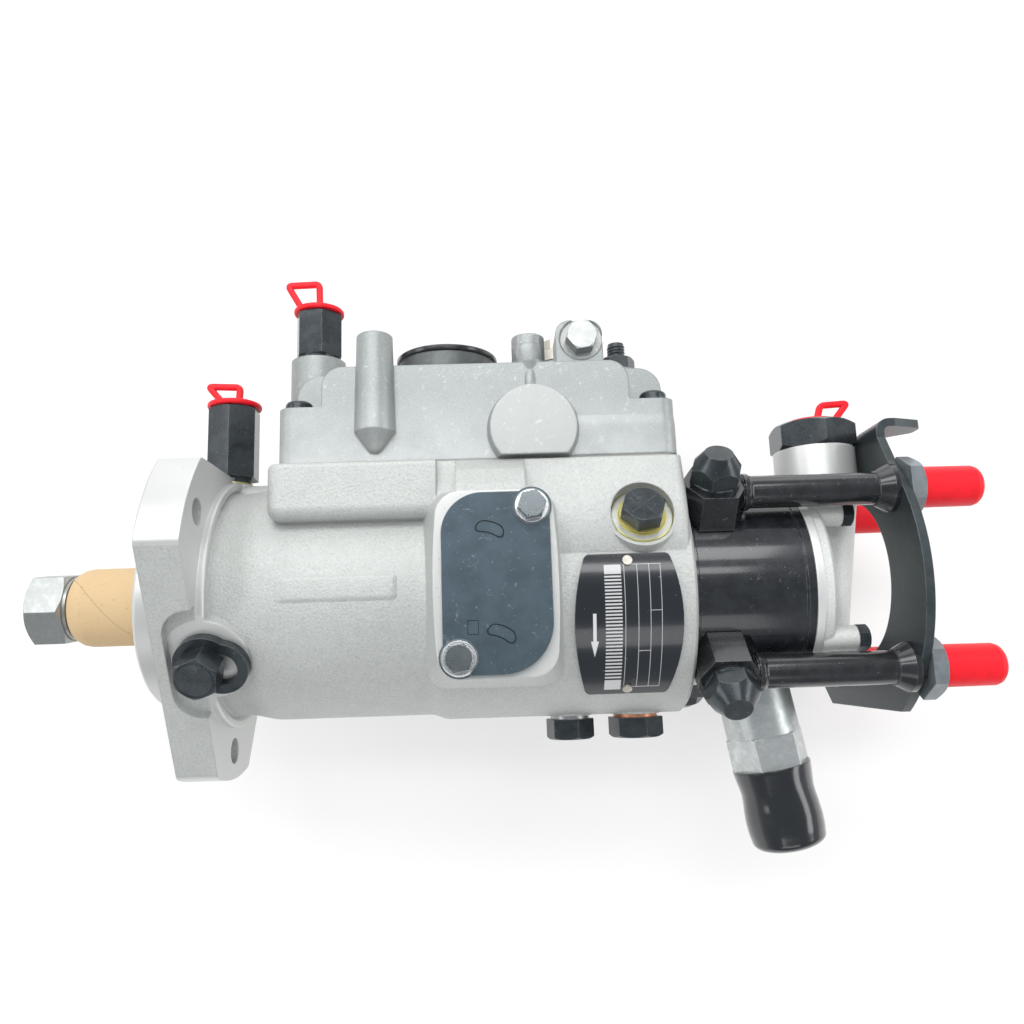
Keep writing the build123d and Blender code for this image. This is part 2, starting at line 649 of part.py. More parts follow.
# ---------------------------------------------------------------- governor linkage
def governor_bracket():
    """Bridge under the control cover with two lugs and the pivot pin of the arm."""
    top = GASKET_PLANE - 0.2
    bridge = block(ARM_PIVOT_X - 5.5, ARM_PIVOT_X + 7.5, -BRIDGE_HALF_W, BRIDGE_HALF_W, BRIDGE_LOW, top)
    bridge -= block(ARM_PIVOT_X - 6.5, ARM_PIVOT_X + 8.5, -ARM_OUTER - 0.6, ARM_OUTER + 0.6, 38, top + 1)
    for side in (-1, 1):
        y0, y1 = sorted((side * (ARM_OUTER + 1.0), side * (ARM_OUTER + 4.6)))
        bridge += block(ARM_PIVOT_X - 4, ARM_PIVOT_X + 4, y0, y1, ARM_PIVOT_Z - 4, top)
    half = ARM_OUTER + 3
    return bridge + rod(ARM_PIN_R, (ARM_PIVOT_X, -half, ARM_PIVOT_Z), (ARM_PIVOT_X, half, ARM_PIVOT_Z))


def governor_arm():
    """Forked arm that turns sleeve travel into rod travel."""
    tip_x = SLEEVE_END + ARM_TIP_R + 0.2
    arm = None
    for side in (-1, 1):
        y0, y1 = sorted((side * ARM_INNER, side * ARM_OUTER))
        prong = block(ARM_PIVOT_X - 3.5, ARM_PIVOT_X + 3.5, y0, y1, ARM_PIVOT_Z - 3, ARM_PIVOT_Z + 6)
        leg = Polyline((ARM_PIVOT_X - 3.5, ARM_PIVOT_Z), (ARM_PIVOT_X + 3.5, ARM_PIVOT_Z),
                       (tip_x + 3, 0), (tip_x - 3, 0), close=True)
        prong += Pos(0, y1, 0) * extrude(Plane.XZ * make_face(leg), ARM_OUTER - ARM_INNER)
        prong += rod(ARM_TIP_R, (tip_x, y0, 0), (tip_x, y1, 0))
        arm = prong if arm is None else arm + prong
    arm += block(ARM_PIVOT_X - 2, ARM_PIVOT_X + 2, -ARM_OUTER, ARM_OUTER, ARM_PIVOT_Z + 3, ARM_PIVOT_Z + 9)
    arm += block(ARM_PIVOT_X - 2, ARM_PIVOT_X + 2, -7.6, 9.4, ARM_PIVOT_Z + 3, LINK_Z + 4)
    arm += rod(LINK_PIN_R, (ARM_PIVOT_X, LINK_Y - 2.5, LINK_Z), (ARM_PIVOT_X, -7, LINK_Z))
    return arm - rod(ARM_PIN_R + RUN_FIT, (ARM_PIVOT_X, -30, ARM_PIVOT_Z), (ARM_PIVOT_X, 30, ARM_PIVOT_Z))


def control_link():
    """Rod with an eye at each end, from the governor arm to the metering valve."""
    link = rod_x(LINK_R, ARM_PIVOT_X + 4, VALVE_X - 4, LINK_Y, LINK_Z)
    eye = rod(LINK_EYE_R, (ARM_PIVOT_X, LINK_Y - 1, LINK_Z), (ARM_PIVOT_X, LINK_Y + 1, LINK_Z))
    link += eye
    link -= rod(LINK_HOLE_R, (ARM_PIVOT_X, LINK_Y - 3, LINK_Z), (ARM_PIVOT_X, LINK_Y + 3, LINK_Z))
    link += disc(up(VALVE_X, LINK_Y, LINK_Z - 1), LINK_EYE_R, 2)
    return link - disc(up(VALVE_X, LINK_Y, LINK_Z - 3), LINK_HOLE_R, 6)


def metering_valve():
    """Turning valve in the hydraulic head with its lever."""
    valve = disc(up(VALVE_X, 0, VALVE_BOTTOM), VALVE_R, SPIGOT_BORE_R - VALVE_BOTTOM)
    valve += disc(up(VALVE_X, 0, VALVE_BOTTOM), VALVE_R - 0.5, VALVE_LEVER_Z - VALVE_BOTTOM)
    slot = Pos(0, LINK_Y / 2) * SlotOverall(-LINK_Y + 9, 9, rotation=90)
    valve += extrude(up(VALVE_X, 0, VALVE_LEVER_Z) * slot, 2.5)
    valve += disc(up(VALVE_X, LINK_Y, VALVE_LEVER_Z), LINK_PIN_R, LINK_Z + 2 - VALVE_LEVER_Z)
    return valve


def coil(radius, wire, pitch, length, place):
    """Helical spring wire along the local Z axis of a plane."""
    path = Helix(pitch=pitch, height=length, radius=radius)
    section = Plane(origin=path @ 0, z_dir=path % 0) * Circle(wire)
    return place * sweep(section, path=path)


def governor_spring():
    """Main governor spring, hooked to the arm and reaching towards the throttle lever."""
    place = Plane(origin=(ARM_PIVOT_X + 3.0, 4, LINK_Z), z_dir=(1, 0, 0))
    return coil(SPRING_R, SPRING_WIRE_R, 2.1, GOVERNOR_SPRING_LEN, place)


def throttle_shaft():
    """Vertical throttle spindle with the lever that loads the governor spring."""
    top = THROTTLE_BOSS_TOP + 9.9
    shaft = disc(up(THROTTLE_X, THROTTLE_Y, LEVER_Z), THROTTLE_R, top - LEVER_Z)
    arm = Pos(0, -THROTTLE_Y / 2) * SlotOverall(THROTTLE_Y + 2 * THROTTLE_R, 2 * THROTTLE_R, rotation=90)
    shaft += extrude(up(THROTTLE_X, THROTTLE_Y, LEVER_Z) * arm, 3)
    shaft += disc(up(THROTTLE_X, 0, LEVER_Z - 8.1), LINK_PIN_R, 9)
    return shaft


def throttle_lever():
    """Outer throttle lever clamped on the spindle, pointing to the far side."""
    seat = up(THROTTLE_X, THROTTLE_Y, THROTTLE_BOSS_TOP + 0.3)
    lever = disc(seat, THROTTLE_BOSS_R, 4.2)
    arm = Pos(0, THROTTLE_LINK_REACH / 2) * SlotOverall(THROTTLE_LINK_REACH + 11, 10, rotation=90)
    lever += extrude(seat * arm, 3.0)
    lever -= disc(up(THROTTLE_X, THROTTLE_Y, 80), THROTTLE_R, 40)
    lever -= disc(up(THROTTLE_X, THROTTLE_Y + THROTTLE_LINK_REACH, 80), 3.0, 40)
    return lever


def throttle_nut():
    """Nut that clamps the throttle lever."""
    nut = chamfered_hexagon(up(THROTTLE_X, THROTTLE_Y, THROTTLE_BOSS_TOP + 4.5), THROTTLE_NUT_FLATS, 4.8)
    return nut - disc(up(THROTTLE_X, THROTTLE_Y, 80), THROTTLE_R, 40)


# ---------------------------------------------------------------- pumping section
def distributor_rotor():
    """Rotor with the cross bore of the plungers and the slots of the roller shoes."""
    rotor = turned((
        (ROTOR_HUB_START, 0), (ROTOR_HUB_START, ROTOR_HUB_R), (ROTOR_HEAD_START, ROTOR_HUB_R),
        (ROTOR_HEAD_START, ROTOR_HEAD_R), (ROTOR_HEAD_END, ROTOR_HEAD_R), (ROTOR_HEAD_END, ROTOR_R),
        (LINER_START, ROTOR_R), (LINER_START, ROTOR_R - 3), (LINER_END - 0.2, ROTOR_R - 3), (LINER_END - 0.2, 0)))
    half = TONGUE_W / 2 + RUN_FIT
    rotor -= block(ROTOR_HUB_START - 1, TONGUE_END + 0.5, -half, half, -ROTOR_HUB_R - 1, ROTOR_HUB_R + 1)
    rotor -= rod(PLUNGER_R + RUN_FIT, (CAM_X, -ROTOR_HEAD_R - 1, 0), (CAM_X, ROTOR_HEAD_R + 1, 0))
    half_w = SHOE_W / 2 + 0.1
    half_l = ROLLER_LEN / 2 + 0.2
    inner = SHOE_INNER - SHOE_STROKE - 0.3
    for side in (-1, 1):
        y0, y1 = sorted((side * inner, side * (ROTOR_HEAD_R + 1)))
        rotor -= block(CAM_X - half_l, CAM_X + half_l, y0, y1, -half_w, half_w)
    return rotor


def pump_plunger():
    """One pumping plunger on the +Y side."""
    return rod(PLUNGER_R, (CAM_X, PLUNGER_INNER, 0), (CAM_X, SHOE_INNER, 0))


def roller_centre():
    """Distance of the roller's axis from the shaft axis."""
    return CAM_LOBE_R - ROLLER_GAP - ROLLER_R


def roller_shoe():
    """Shoe that carries a roller on the +Y side."""
    half_l = ROLLER_LEN / 2
    shoe = block(CAM_X - half_l, CAM_X + half_l, SHOE_INNER, SHOE_OUTER, -SHOE_W / 2, SHOE_W / 2)
    return shoe - rod_x(ROLLER_R + 0.02, CAM_X - half_l - 1, CAM_X + half_l + 1, roller_centre(), 0)


def cam_roller():
    """Roller on the +Y side."""
    return rod_x(ROLLER_R, CAM_X - ROLLER_LEN / 2, CAM_X + ROLLER_LEN / 2, roller_centre(), 0)


def cam_ring():
    """Ring whose four inner lobes press the rollers inwards."""
    hollow = Circle(CAM_BASE_R)
    for i in range(LOBES):
        a = 2 * pi * i / LOBES
        reach = CAM_LOBE_R + CAM_LOBE_ROUND
        hollow -= Pos(reach * cos(a), reach * sin(a)) * Circle(CAM_LOBE_ROUND)
    ring = Circle(SPIGOT_BORE_R - RUN_FIT) - hollow
    solid = Pos(CAM_X - CAM_WIDTH / 2, 0, 0) * extrude(Plane.YZ * ring, CAM_WIDTH)
    return solid - disc(down(CAM_X, 0, -CAM_LOBE_R - 1), CAM_SCREW_R, 14)


def cam_screw():
    """Ball-ended screw that joins the cam ring to the advance piston."""
    shank = disc(down(CAM_X, 0, -CAM_LOBE_R - 1.5), CAM_SCREW_R, -PISTON_Z - CAM_LOBE_R - 1.5)
    return shank + Pos(CAM_X, 0, PISTON_Z) * Sphere(CAM_BALL_R)


def advance_piston():
    """Piston across the bottom of the housing that turns the cam ring."""
    piston = rod(PISTON_R, (CAM_X, -PISTON_HALF_LEN, PISTON_Z), (CAM_X, PISTON_HALF_LEN, PISTON_Z))
    return piston - disc(up(CAM_X, 0, PISTON_Z - PISTON_R - 1), CAM_BALL_R + RUN_FIT, 2 * PISTON_R + 2)


def advance_spring():
    """Return spring that rides on the end of the advance piston."""
    place = Plane(origin=(CAM_X, PISTON_HALF_LEN + 0.6, PISTON_Z), z_dir=(0, 1, 0))
    return coil(3.4, 0.5, 1.6, 6.4, place)


def advance_plug():
    """Screwed plug that closes the advance bore on the far side."""
    seat = Plane(origin=(CAM_X, ADVANCE_BORE_FAR, PISTON_Z), x_dir=(1, 0, 0), z_dir=(0, 1, 0))
    plug = chamfered_hexagon(seat, 14.0, 5.0)
    start = ADVANCE_BORE_FAR - ADVANCE_PLUG_LEN
    return plug + rod(ADVANCE_PLUG_R, (CAM_X, start, PISTON_Z), (CAM_X, ADVANCE_BORE_FAR + 1, PISTON_Z))


# ---------------------------------------------------------------- hydraulic head
def hydraulic_head():
    """Head with its spigot in the housing, the rotor bore and the valve and outlet drillings."""
    spigot = SPIGOT_BORE_R - 0.02
    groove = HEAD_R - HEAD_GROOVE
    head = turned((
        (SPIGOT_START, ROTOR_R + RUN_FIT), (SPIGOT_START, spigot), (HOUSING_END, spigot), (HOUSING_END, HEAD_R),
        (HOUSING_END + 2.2, HEAD_R), (HOUSING_END + 2.2, groove), (HOUSING_END + 2.9, groove),
        (HOUSING_END + 2.9, HEAD_R), (HEAD_END - 3.4, HEAD_R), (HEAD_END - 3.4, groove),
        (HEAD_END - 2.7, groove), (HEAD_END - 2.7, HEAD_R), (HEAD_END, HEAD_R), (HEAD_END, ROTOR_R + RUN_FIT)))
    spot = disc(radial(OUTLET_X, 0, SPOT_R), BODY_FLATS / sqrt(3) + 0.4, 5)
    thread = disc(radial(OUTLET_X, 0, SPOT_R - 12), 4.0, 20)
    for cut in ring_of(OUTLETS, OUTLET_FIRST_ANGLE, spot) + ring_of(OUTLETS, OUTLET_FIRST_ANGLE, thread):
        head -= cut
    head -= disc(up(VALVE_X, 0, VALVE_BOTTOM), VALVE_R + RUN_FIT, 40)
    head -= disc(radial(LOCATING_X, LOCATING_ANGLE, LOCATING_TIP), 4.0, 20)
    seat = solenoid_plane(0)
    head -= disc(seat, SOLENOID_R + 0.2, 10)
    head -= disc(solenoid_plane(-13), 5.0, 20)
    for a in range(PLATE_BOLTS):
        y, z = plate_bolt_place(a)
        head -= rod_x(2.5, HEAD_END - 10, HEAD_END + 1, y, z)
    return head


def plate_bolt_place(i):
    """Place of one end-plate bolt on its circle."""
    a = radians(PLATE_BOLT_FIRST_ANGLE + i * 360 / PLATE_BOLTS)
    return PLATE_BOLT_CIRCLE_R * cos(a), PLATE_BOLT_CIRCLE_R * sin(a)


def solenoid_plane(along):
    """Plane across the solenoid's axis, facing outwards, at a distance from its seat."""
    t = radians(SOLENOID_TILT)
    out = Vector(sin(t), 0, -cos(t))
    start = Vector(SOLENOID_X - 2 * sin(t), 0, -SOLENOID_SEAT)
    return Plane(origin=start + out * along, x_dir=(0, 1, 0), z_dir=out)


def outlet_pipe():
    """Outlet body and its delivery pipe on the +Y side, before it is turned to its place."""
    body = hexagon(radial(OUTLET_X, 0, SPOT_R), BODY_FLATS, BODY_TOP - SPOT_R)
    body &= block(HOUSING_END + 0.3, OUTLET_X + BODY_FLATS, -80, 80, -80, 80)
    pipe = rod_x(PIPE_R, OUTLET_X + 9.2, PIPE_END, PIPE_OFFSET)
    collar_base = PIPE_R + 0.4
    collar = Pos(0, PIPE_OFFSET, 0) * turned((
        (COLLAR_START, 0), (COLLAR_START, collar_base), (COLLAR_START + 4.2, COLLAR_R),
        (BRACKET_FACE, COLLAR_R), (BRACKET_FACE, 0)))
    piece = body + pipe + collar
    piece -= disc(radial(OUTLET_X, 0, SPOT_R - 1), 4.0, 30)
    return piece - rod_x(1.4, OUTLET_X + 8, PIPE_END + 1, PIPE_OFFSET)


def banjo_bolt():
    """Cap bolt through an outlet body, with a conical six-sided tip."""
    base = radial(OUTLET_X, 0, BODY_TOP + 1.0)
    length = BANJO_TIP - BODY_TOP - 1.0
    corner = BANJO_BOLT_FLATS / sqrt(3)
    profile = Polyline((0, 0), (corner, 0), (corner, length * 0.42), (4.7, length), (0, length), close=True)
    limit = revolve(Plane.XZ * make_face(profile), Axis.Z, 360)
    bolt = hexagon(base, BANJO_BOLT_FLATS, length, 10) & (base * limit)
    bolt += disc(radial(OUTLET_X, 0, BODY_TOP), BANJO_BOLT_FLATS / 2 + 0.6, 1.2)
    return bolt + disc(radial(OUTLET_X, 0, SPOT_R - 10), 3.9, BODY_TOP - SPOT_R + 11)


def outlet_nut(turn):
    """Nut behind the bracket."""
    seat = Plane(origin=(BRACKET_FACE + BRACKET_THICK, PIPE_OFFSET, 0), x_dir=(0, 1, 0), z_dir=(1, 0, 0))
    nut = chamfered_hexagon(seat, OUTLET_NUT_FLATS, OUTLET_NUT_LEN, turn)
    return nut - rod_x(PIPE_R, BRACKET_FACE, BRACKET_FACE + 20, PIPE_OFFSET)


def outlet_nuts():
    """The four nuts, each with a corner pointing up."""
    angles = [OUTLET_FIRST_ANGLE + i * 360 / OUTLETS for i in range(OUTLETS)]
    return [Rot(angle, 0, 0) * outlet_nut(30 - angle) for angle in angles]


def outlet_cap():
    """Soft cap pushed on the end of an outlet."""
    start = BRACKET_FACE + BRACKET_THICK + OUTLET_NUT_LEN
    cap = Pos(0, PIPE_OFFSET, 0) * turned((
        (start, 0), (start, CAP_R + 0.5), (start + 1.2, CAP_R + 0.1), (CAP_END - 3.0, CAP_R),
        (CAP_END - 1.6, CAP_R - 0.5), (CAP_END - 0.7, CAP_R - 1.4), (CAP_END - 0.15, CAP_R - 2.7),
        (CAP_END, CAP_R - 4.2), (CAP_END, 0)))
    return cap - rod_x(PIPE_R, start - 1, PIPE_END + 0.2, PIPE_OFFSET)


def bracket_lip():
    """Bent lip at the bracket's top, with a large bend and a tapering rounded tip."""
    x0, x1 = BRACKET_FACE, BRACKET_FACE + BRACKET_THICK
    tip = BRACKET_FACE + 18.2
    profile = make_face(Polyline((x0, 48), (x0, 57), (tip, 57), (tip, 57 - BRACKET_THICK), (x1, 57 - BRACKET_THICK),
                                 (x1, 48), close=True))
    bent = extrude(Plane(origin=(0, -5, 0), x_dir=(1, 0, 0), z_dir=(0, -1, 0)) * profile, 19)
    edges = bent.edges().filter_by(Axis.Y)
    outer = edges.sort_by_distance((x0, -14, 57))[:1]
    bent = fillet(outer, 5.0)
    inner = bent.edges().filter_by(Axis.Y).sort_by_distance((x1, -14, 57 - BRACKET_THICK))[:1]
    bent = fillet(inner, 2.0)
    plan = make_face(Polyline((x0 - 1, -25), (x1 + 1.5, -25), (tip, -20), (tip, -13), (x1 + 4, -4), (x0 - 1, -4), close=True))
    plan = fillet(plan.vertices().sort_by(Axis.X)[-2:], 2.8)
    return bent & extrude(Plane(origin=(0, 0, 40)) * plan, 30)


def outlet_bracket():
    """Crescent plate that ties the four outlets together, with a bent lip at its top."""
    with BuildSketch(Plane.YZ) as sketch:
        with BuildLine():
            Line((-5, 50), (-24, 50))
            Line((-24, 50), (-30, 40))
            ThreePointArc((-30, 40), (-46.6, -3), (-20, -45.5))
            Line((-20, -45.5), (41, -45.5))
            Line((41, -45.5), (49.5, -37.5))
            ThreePointArc((49.5, -37.5), (51, 4), (41, 41))
            Line((41, 41), (20, 44))
            Line((20, 44), (14, 30))
            ThreePointArc((14, 30), (0, -26), (-5, 29))
            Line((-5, 29), (-5, 50))
        make_face()
        fillet(sketch.vertices().filter_by_position(Axis.Z, -46, -37), 3.0)
    plate = Pos(BRACKET_FACE, 0, 0) * extrude(sketch.sketch, BRACKET_THICK)
    plate += bracket_lip()
    hole = rod_x(PIPE_R + 0.1, BRACKET_FACE - 1, BRACKET_FACE + BRACKET_THICK + 1, PIPE_OFFSET)
    for cut in ring_of(OUTLETS, OUTLET_FIRST_ANGLE, hole):
        plate -= cut
    return plate


def inlet_boss():
    """Round inlet boss whose passage tapers down the face of the end plate."""
    boss = disc(up(INLET_X, 0, INLET_BOSS_LOW), INLET_BOSS_R, INLET_BOSS_TOP - INLET_BOSS_LOW)
    boss += up(INLET_X, 0, PASSAGE_LOW) * Cone(
        PASSAGE_R, INLET_BOSS_R, INLET_BOSS_LOW - PASSAGE_LOW, align=(Align.CENTER, Align.CENTER, Align.MIN))
    boss += Pos(INLET_X, 0, PASSAGE_LOW) * Sphere(PASSAGE_R)
    return boss & block(HEAD_END, HEAD_END + 60, -60, 60, -60, 60)


def end_plate():
    """Cast plate over the transfer pump with the fuel inlet boss."""
    rim = PLATE_RIM_R
    plate = turned((
        (HEAD_END, 0), (HEAD_END, BAND_PLATE_R), (BAND_PLATE_END, BAND_PLATE_R), (BAND_PLATE_END, rim),
        (PLATE_RIM_END, rim - 0.4), (PLATE_FACE - 0.5, rim - 1.6), (PLATE_FACE, rim - 3), (PLATE_FACE, PLATE_HUB_R + 2),
        (PLATE_FACE + 1, PLATE_HUB_R + 0.5), (PLATE_HUB_END - 1.5, PLATE_HUB_R - 1), (PLATE_HUB_END, PLATE_HUB_R - 2.5),
        (PLATE_HUB_END, 0)))
    plate += inlet_boss()
    for i in range(PLATE_BOLTS):
        y, z = plate_bolt_place(i)
        plate += rod_x(PLATE_BOLT_BOSS_R, BAND_PLATE_END - 1, PLATE_BOLT_BOSS_END, y, z)
    for i in range(PLATE_BOLTS):
        y, z = plate_bolt_place(i)
        plate -= rod_x(2.5 + SCREW_FIT, HEAD_END - 1, PLATE_BOLT_BOSS_END + 1, y, z)
    plate -= rod_x(LINER_R + LINER_OFFSET + 0.1, HEAD_END - 1, LINER_END + 0.2)
    return plate - disc(up(INLET_X, 0, 20), 8.0, 40)


def end_plate_bolt(i):
    """Hexagon bolt of the end plate."""
    y, z = plate_bolt_place(i)
    seat = Plane(origin=(PLATE_BOLT_BOSS_END, y, z), x_dir=(0, 1, 0), z_dir=(1, 0, 0))
    return chamfered_hexagon(seat, 8.0, 4.0, i * 20) + rod_x(2.5 - 0.02, HEAD_END - 9, PLATE_BOLT_BOSS_END + 1, y, z)


def transfer_liner():
    """Eccentric liner of the transfer pump."""
    ring = rod_x(LINER_R + LINER_OFFSET + 0.05, LINER_START, LINER_END)
    return ring - rod_x(LINER_R - 1.0, LINER_START - 1, LINER_END + 1, LINER_OFFSET)


def transfer_rotor():
    """Rotor of the transfer pump, slotted for two vanes."""
    rotor = tube_x(TRANSFER_ROTOR_R, ROTOR_R - 3 + 0.02, LINER_START + 0.1, LINER_END - 0.4)
    for angle in (0, 90):
        slot = block(LINER_START - 1, LINER_END + 1, ROTOR_R - 2, TRANSFER_ROTOR_R + 1,
                     -VANE_T / 2 - 0.05, VANE_T / 2 + 0.05)
        for half in (0, 180):
            rotor -= Rot(angle + half, 0, 0) * slot
    return rotor


def transfer_vanes():
    """Four sliding blades of the transfer pump."""
    vane = block(LINER_START + 0.1, LINER_END - 0.4, ROTOR_R - 1.8, TRANSFER_ROTOR_R + 0.9, -VANE_T / 2, VANE_T / 2)
    return group(ring_of(4, 0, vane))


def inlet_adapter():
    """Hexagon adapter screwed into the inlet boss."""
    hexed = chamfered_hexagon(up(INLET_X, 0, INLET_BOSS_TOP), ADAPTER_FLATS, ADAPTER_TOP - INLET_BOSS_TOP, 28, both=True)
    hexed += disc(up(INLET_X, 0, INLET_BOSS_TOP - 12), 8.0 - 0.02, 13)
    return hexed - disc(up(INLET_X, 0, INLET_BOSS_TOP - 13), 5.5, 40)


def pull_plug(x, z, radius, stem, hole, lean):
    """Soft plug with a flat flange and a tall pull loop that leans to one side, standing on a union."""
    plug = disc(up(x, 0, z), radius, 2.2)
    plug = fillet(plug.edges(), 0.8)
    plug += disc(up(x, 0, z - stem), hole, stem + 0.5)
    shift = 2.5 * lean
    frame = Polyline((-4.0, 0), (4.0, 0), (6.5 + shift, 9.2), (-6.5 + shift, 9.2), close=True)
    opening = Polyline((-2.2, 1.4), (2.2, 1.4), (4.3 + shift, 7.3), (-4.3 + shift, 7.3), close=True)
    loop = extrude(Plane.XZ * (make_face(frame) - make_face(opening)), 0.95, both=True)
    return plug + Pos(x, 0, z + 1.9) * loop


# ---------------------------------------------------------------- stop solenoid
def solenoid_body():
    """Zinc-plated can and hexagon of the stop solenoid."""
    inner = 5.0 - 0.05
    body = disc(solenoid_plane(0), SOLENOID_R, SOLENOID_CAN_LEN)
    body += hexagon(solenoid_plane(SOLENOID_CAN_LEN), SOLENOID_HEX_FLATS, SOLENOID_HEX_LEN, 30)
    body += disc(solenoid_plane(SOLENOID_CAN_LEN + SOLENOID_HEX_LEN - 1), 9.0, 12)
    body += disc(solenoid_plane(-8), inner, 9)
    return body - disc(solenoid_plane(-9), SOLENOID_PIN_R + RUN_FIT, 21)


def solenoid_pin():
    """Sprung plunger of the stop solenoid."""
    return disc(solenoid_plane(-9.5), SOLENOID_PIN_R, 18)


def solenoid_cap():
    """Soft cap over the solenoid's terminal."""
    base = solenoid_plane(SOLENOID_CAN_LEN + SOLENOID_HEX_LEN)
    length = SOLENOID_CAP_LEN
    outside = Polyline(
        (0, 0), (SOLENOID_CAP_R, 0), (SOLENOID_CAP_R, 8), (SOLENOID_CAP_R - 0.9, 13),
        (SOLENOID_CAP_R - 0.7, length - 5.5), (SOLENOID_CAP_R - 1.3, length - 3.0),
        (SOLENOID_CAP_R - 2.6, length - 1.2), (SOLENOID_CAP_R - 4.3, length - 0.3),
        (SOLENOID_CAP_R - 6, length), (0, length), close=True)
    cap = base * revolve(Plane.XZ * make_face(outside), Axis.Z, 360)
    return cap - disc(solenoid_plane(SOLENOID_CAN_LEN + SOLENOID_HEX_LEN - 1), 9.0, 12.1)


# ---------------------------------------------------------------- control cover
def cover_spout():
    """Blind vertical boss on the cover's side with a pointed foot."""
    profile = Polyline((0, SPOUT_TIP), (1.4, SPOUT_TIP + 0.3), (2.5, SPOUT_TIP + 1.2), (SPOUT_R, SPOUT_FOOT),
                       (SPOUT_TOP_R, SPOUT_TOP - 0.6), (SPOUT_TOP_R - 0.6, SPOUT_TOP), (0, SPOUT_TOP), close=True)
    return Pos(SPOUT_X, -COVER_HALF_W, 0) * revolve(Plane.XZ * make_face(profile), Axis.Z, 360)


def cover_pip():
    """Short round boss at the block's edge with a rib that tapers down to the side disc."""
    pip = disc(up(PIP_X, PIP_Y, BLOCK_TOP - 5), PIP_R, PIP_TOP - BLOCK_TOP + 5)
    rib = up(PIP_X, PIP_Y - 4.5, PIP_FOOT) * Cone(
        3.2, PIP_R, BLOCK_TOP - PIP_FOOT + 1, align=(Align.CENTER, Align.CENTER, Align.MIN))
    return fillet(pip.edges().group_by(Axis.Z)[-1], 0.8) + rib


def cover_outside():
    """Control cover casting before it is hollowed."""
    w = COVER_HALF_W
    skirt = block(COVER_START, COVER_END, -w, w, GASKET_TOP, LEDGE_TOP)
    skirt = fillet(skirt.edges().filter_by(Axis.Z), COVER_CORNER)
    upper = block(BLOCK_START, BLOCK_END, -w, w, LEDGE_TOP - 1, BLOCK_TOP)
    upper = fillet(upper.edges().filter_by(Axis.Y).group_by(Axis.Z)[-1], BLOCK_ROUND)
    spine = block(SPINE_START, SPINE_END, -SPINE_HALF_W, SPINE_HALF_W, LEDGE_TOP - 1, SPINE_TOP)
    spine = fillet(spine.edges().filter_by(Axis.Y).group_by(Axis.Z)[-1], SPINE_ROUND)
    cover = skirt + upper + spine + cover_spout() + cover_pip()
    cover += disc(up(UNION_X, 0, GASKET_TOP + 2), UNION_BOSS_R, UNION_BOSS_TOP - GASKET_TOP - 2)
    face = near(DISC_X, -w + 2, DISC_Z) * Cone(
        DISC_FOOT_R, DISC_R, DISC_FACE - w + 2, align=(Align.CENTER, Align.CENTER, Align.MIN))
    cover += face & block(DISC_X - 20, DISC_X + 20, -60, 0, GASKET_TOP + 0.3, 90)
    cover += disc(up(THROTTLE_X, THROTTLE_Y, BLOCK_TOP - 5), THROTTLE_BOSS_R, THROTTLE_BOSS_TOP - BLOCK_TOP + 5)
    cover += disc(up(STOP_X, STOP_Y, LEDGE_TOP), 8.0, STOP_BOSS_TOP - LEDGE_TOP)
    return cover + cover_lug()


def cover_lug():
    """Lug with rounded shoulders that carries the side-facing bolt."""
    lug = block(LUG_START, LUG_END, LUG_NEAR, LUG_FAR, BLOCK_TOP - 4, LUG_TOP)
    return fillet(lug.edges().filter_by(Axis.Y).group_by(Axis.Z)[-1], 5.0)


def control_cover():
    """Cast cover over the governor linkage."""
    w = COVER_HALF_W - COVER_WALL
    cover = cover_outside()
    cover -= block(COVER_START + 8, COVER_END - 7, -18, 18, GASKET_TOP - 1, BLOCK_TOP - COVER_WALL - 10)
    cover -= block(BLOCK_START + 2, BLOCK_END - 2, -w, w, GASKET_TOP - 1, BLOCK_TOP - COVER_WALL)
    cover -= disc(up(COVER_PLUG_X, 0, 60), COVER_PLUG_R - 3, 40)
    cover -= disc(up(THROTTLE_X, THROTTLE_Y, 60), THROTTLE_R + RUN_FIT, 60)
    cover -= disc(up(STOP_X, STOP_Y, 66), STOP_R, 60)
    cover -= disc(up(UNION_X, 0, 78), 5.0, 60)
    cover -= rod(4.0, (LUG_BOLT_X, LUG_NEAR - 1, LUG_BOLT_Z), (LUG_BOLT_X, LUG_FAR + 1, LUG_BOLT_Z))
    cover -= disc(near(LUG_BOLT_X, LUG_NEAR + 0.8, LUG_BOLT_Z), 7.6, 5)
    for x, y in COVER_SCREWS:
        cover -= disc(up(x, y, GASKET_TOP - 1), COVER_SCREW_R + SCREW_FIT, 60)
        cover -= disc(up(x, y, LEDGE_TOP), 5.8, 30)
    return cover


def cover_gasket():
    """Flat gasket under the control cover."""
    w = COVER_HALF_W
    gasket = block(COVER_START, COVER_END, -w, w, GASKET_PLANE, GASKET_TOP)
    gasket = fillet(gasket.edges().filter_by(Axis.Z), COVER_CORNER)
    gasket -= block(BLOCK_START + 2, BLOCK_END - 2, -w + COVER_WALL, w - COVER_WALL, 40, 50)
    gasket -= block(COVER_START + 8, COVER_END - 7, -18, 18, 40, 50)
    for x, y in COVER_SCREWS:
        gasket -= disc(up(x, y, 40), COVER_SCREW_R + SCREW_FIT, 10)
    return gasket


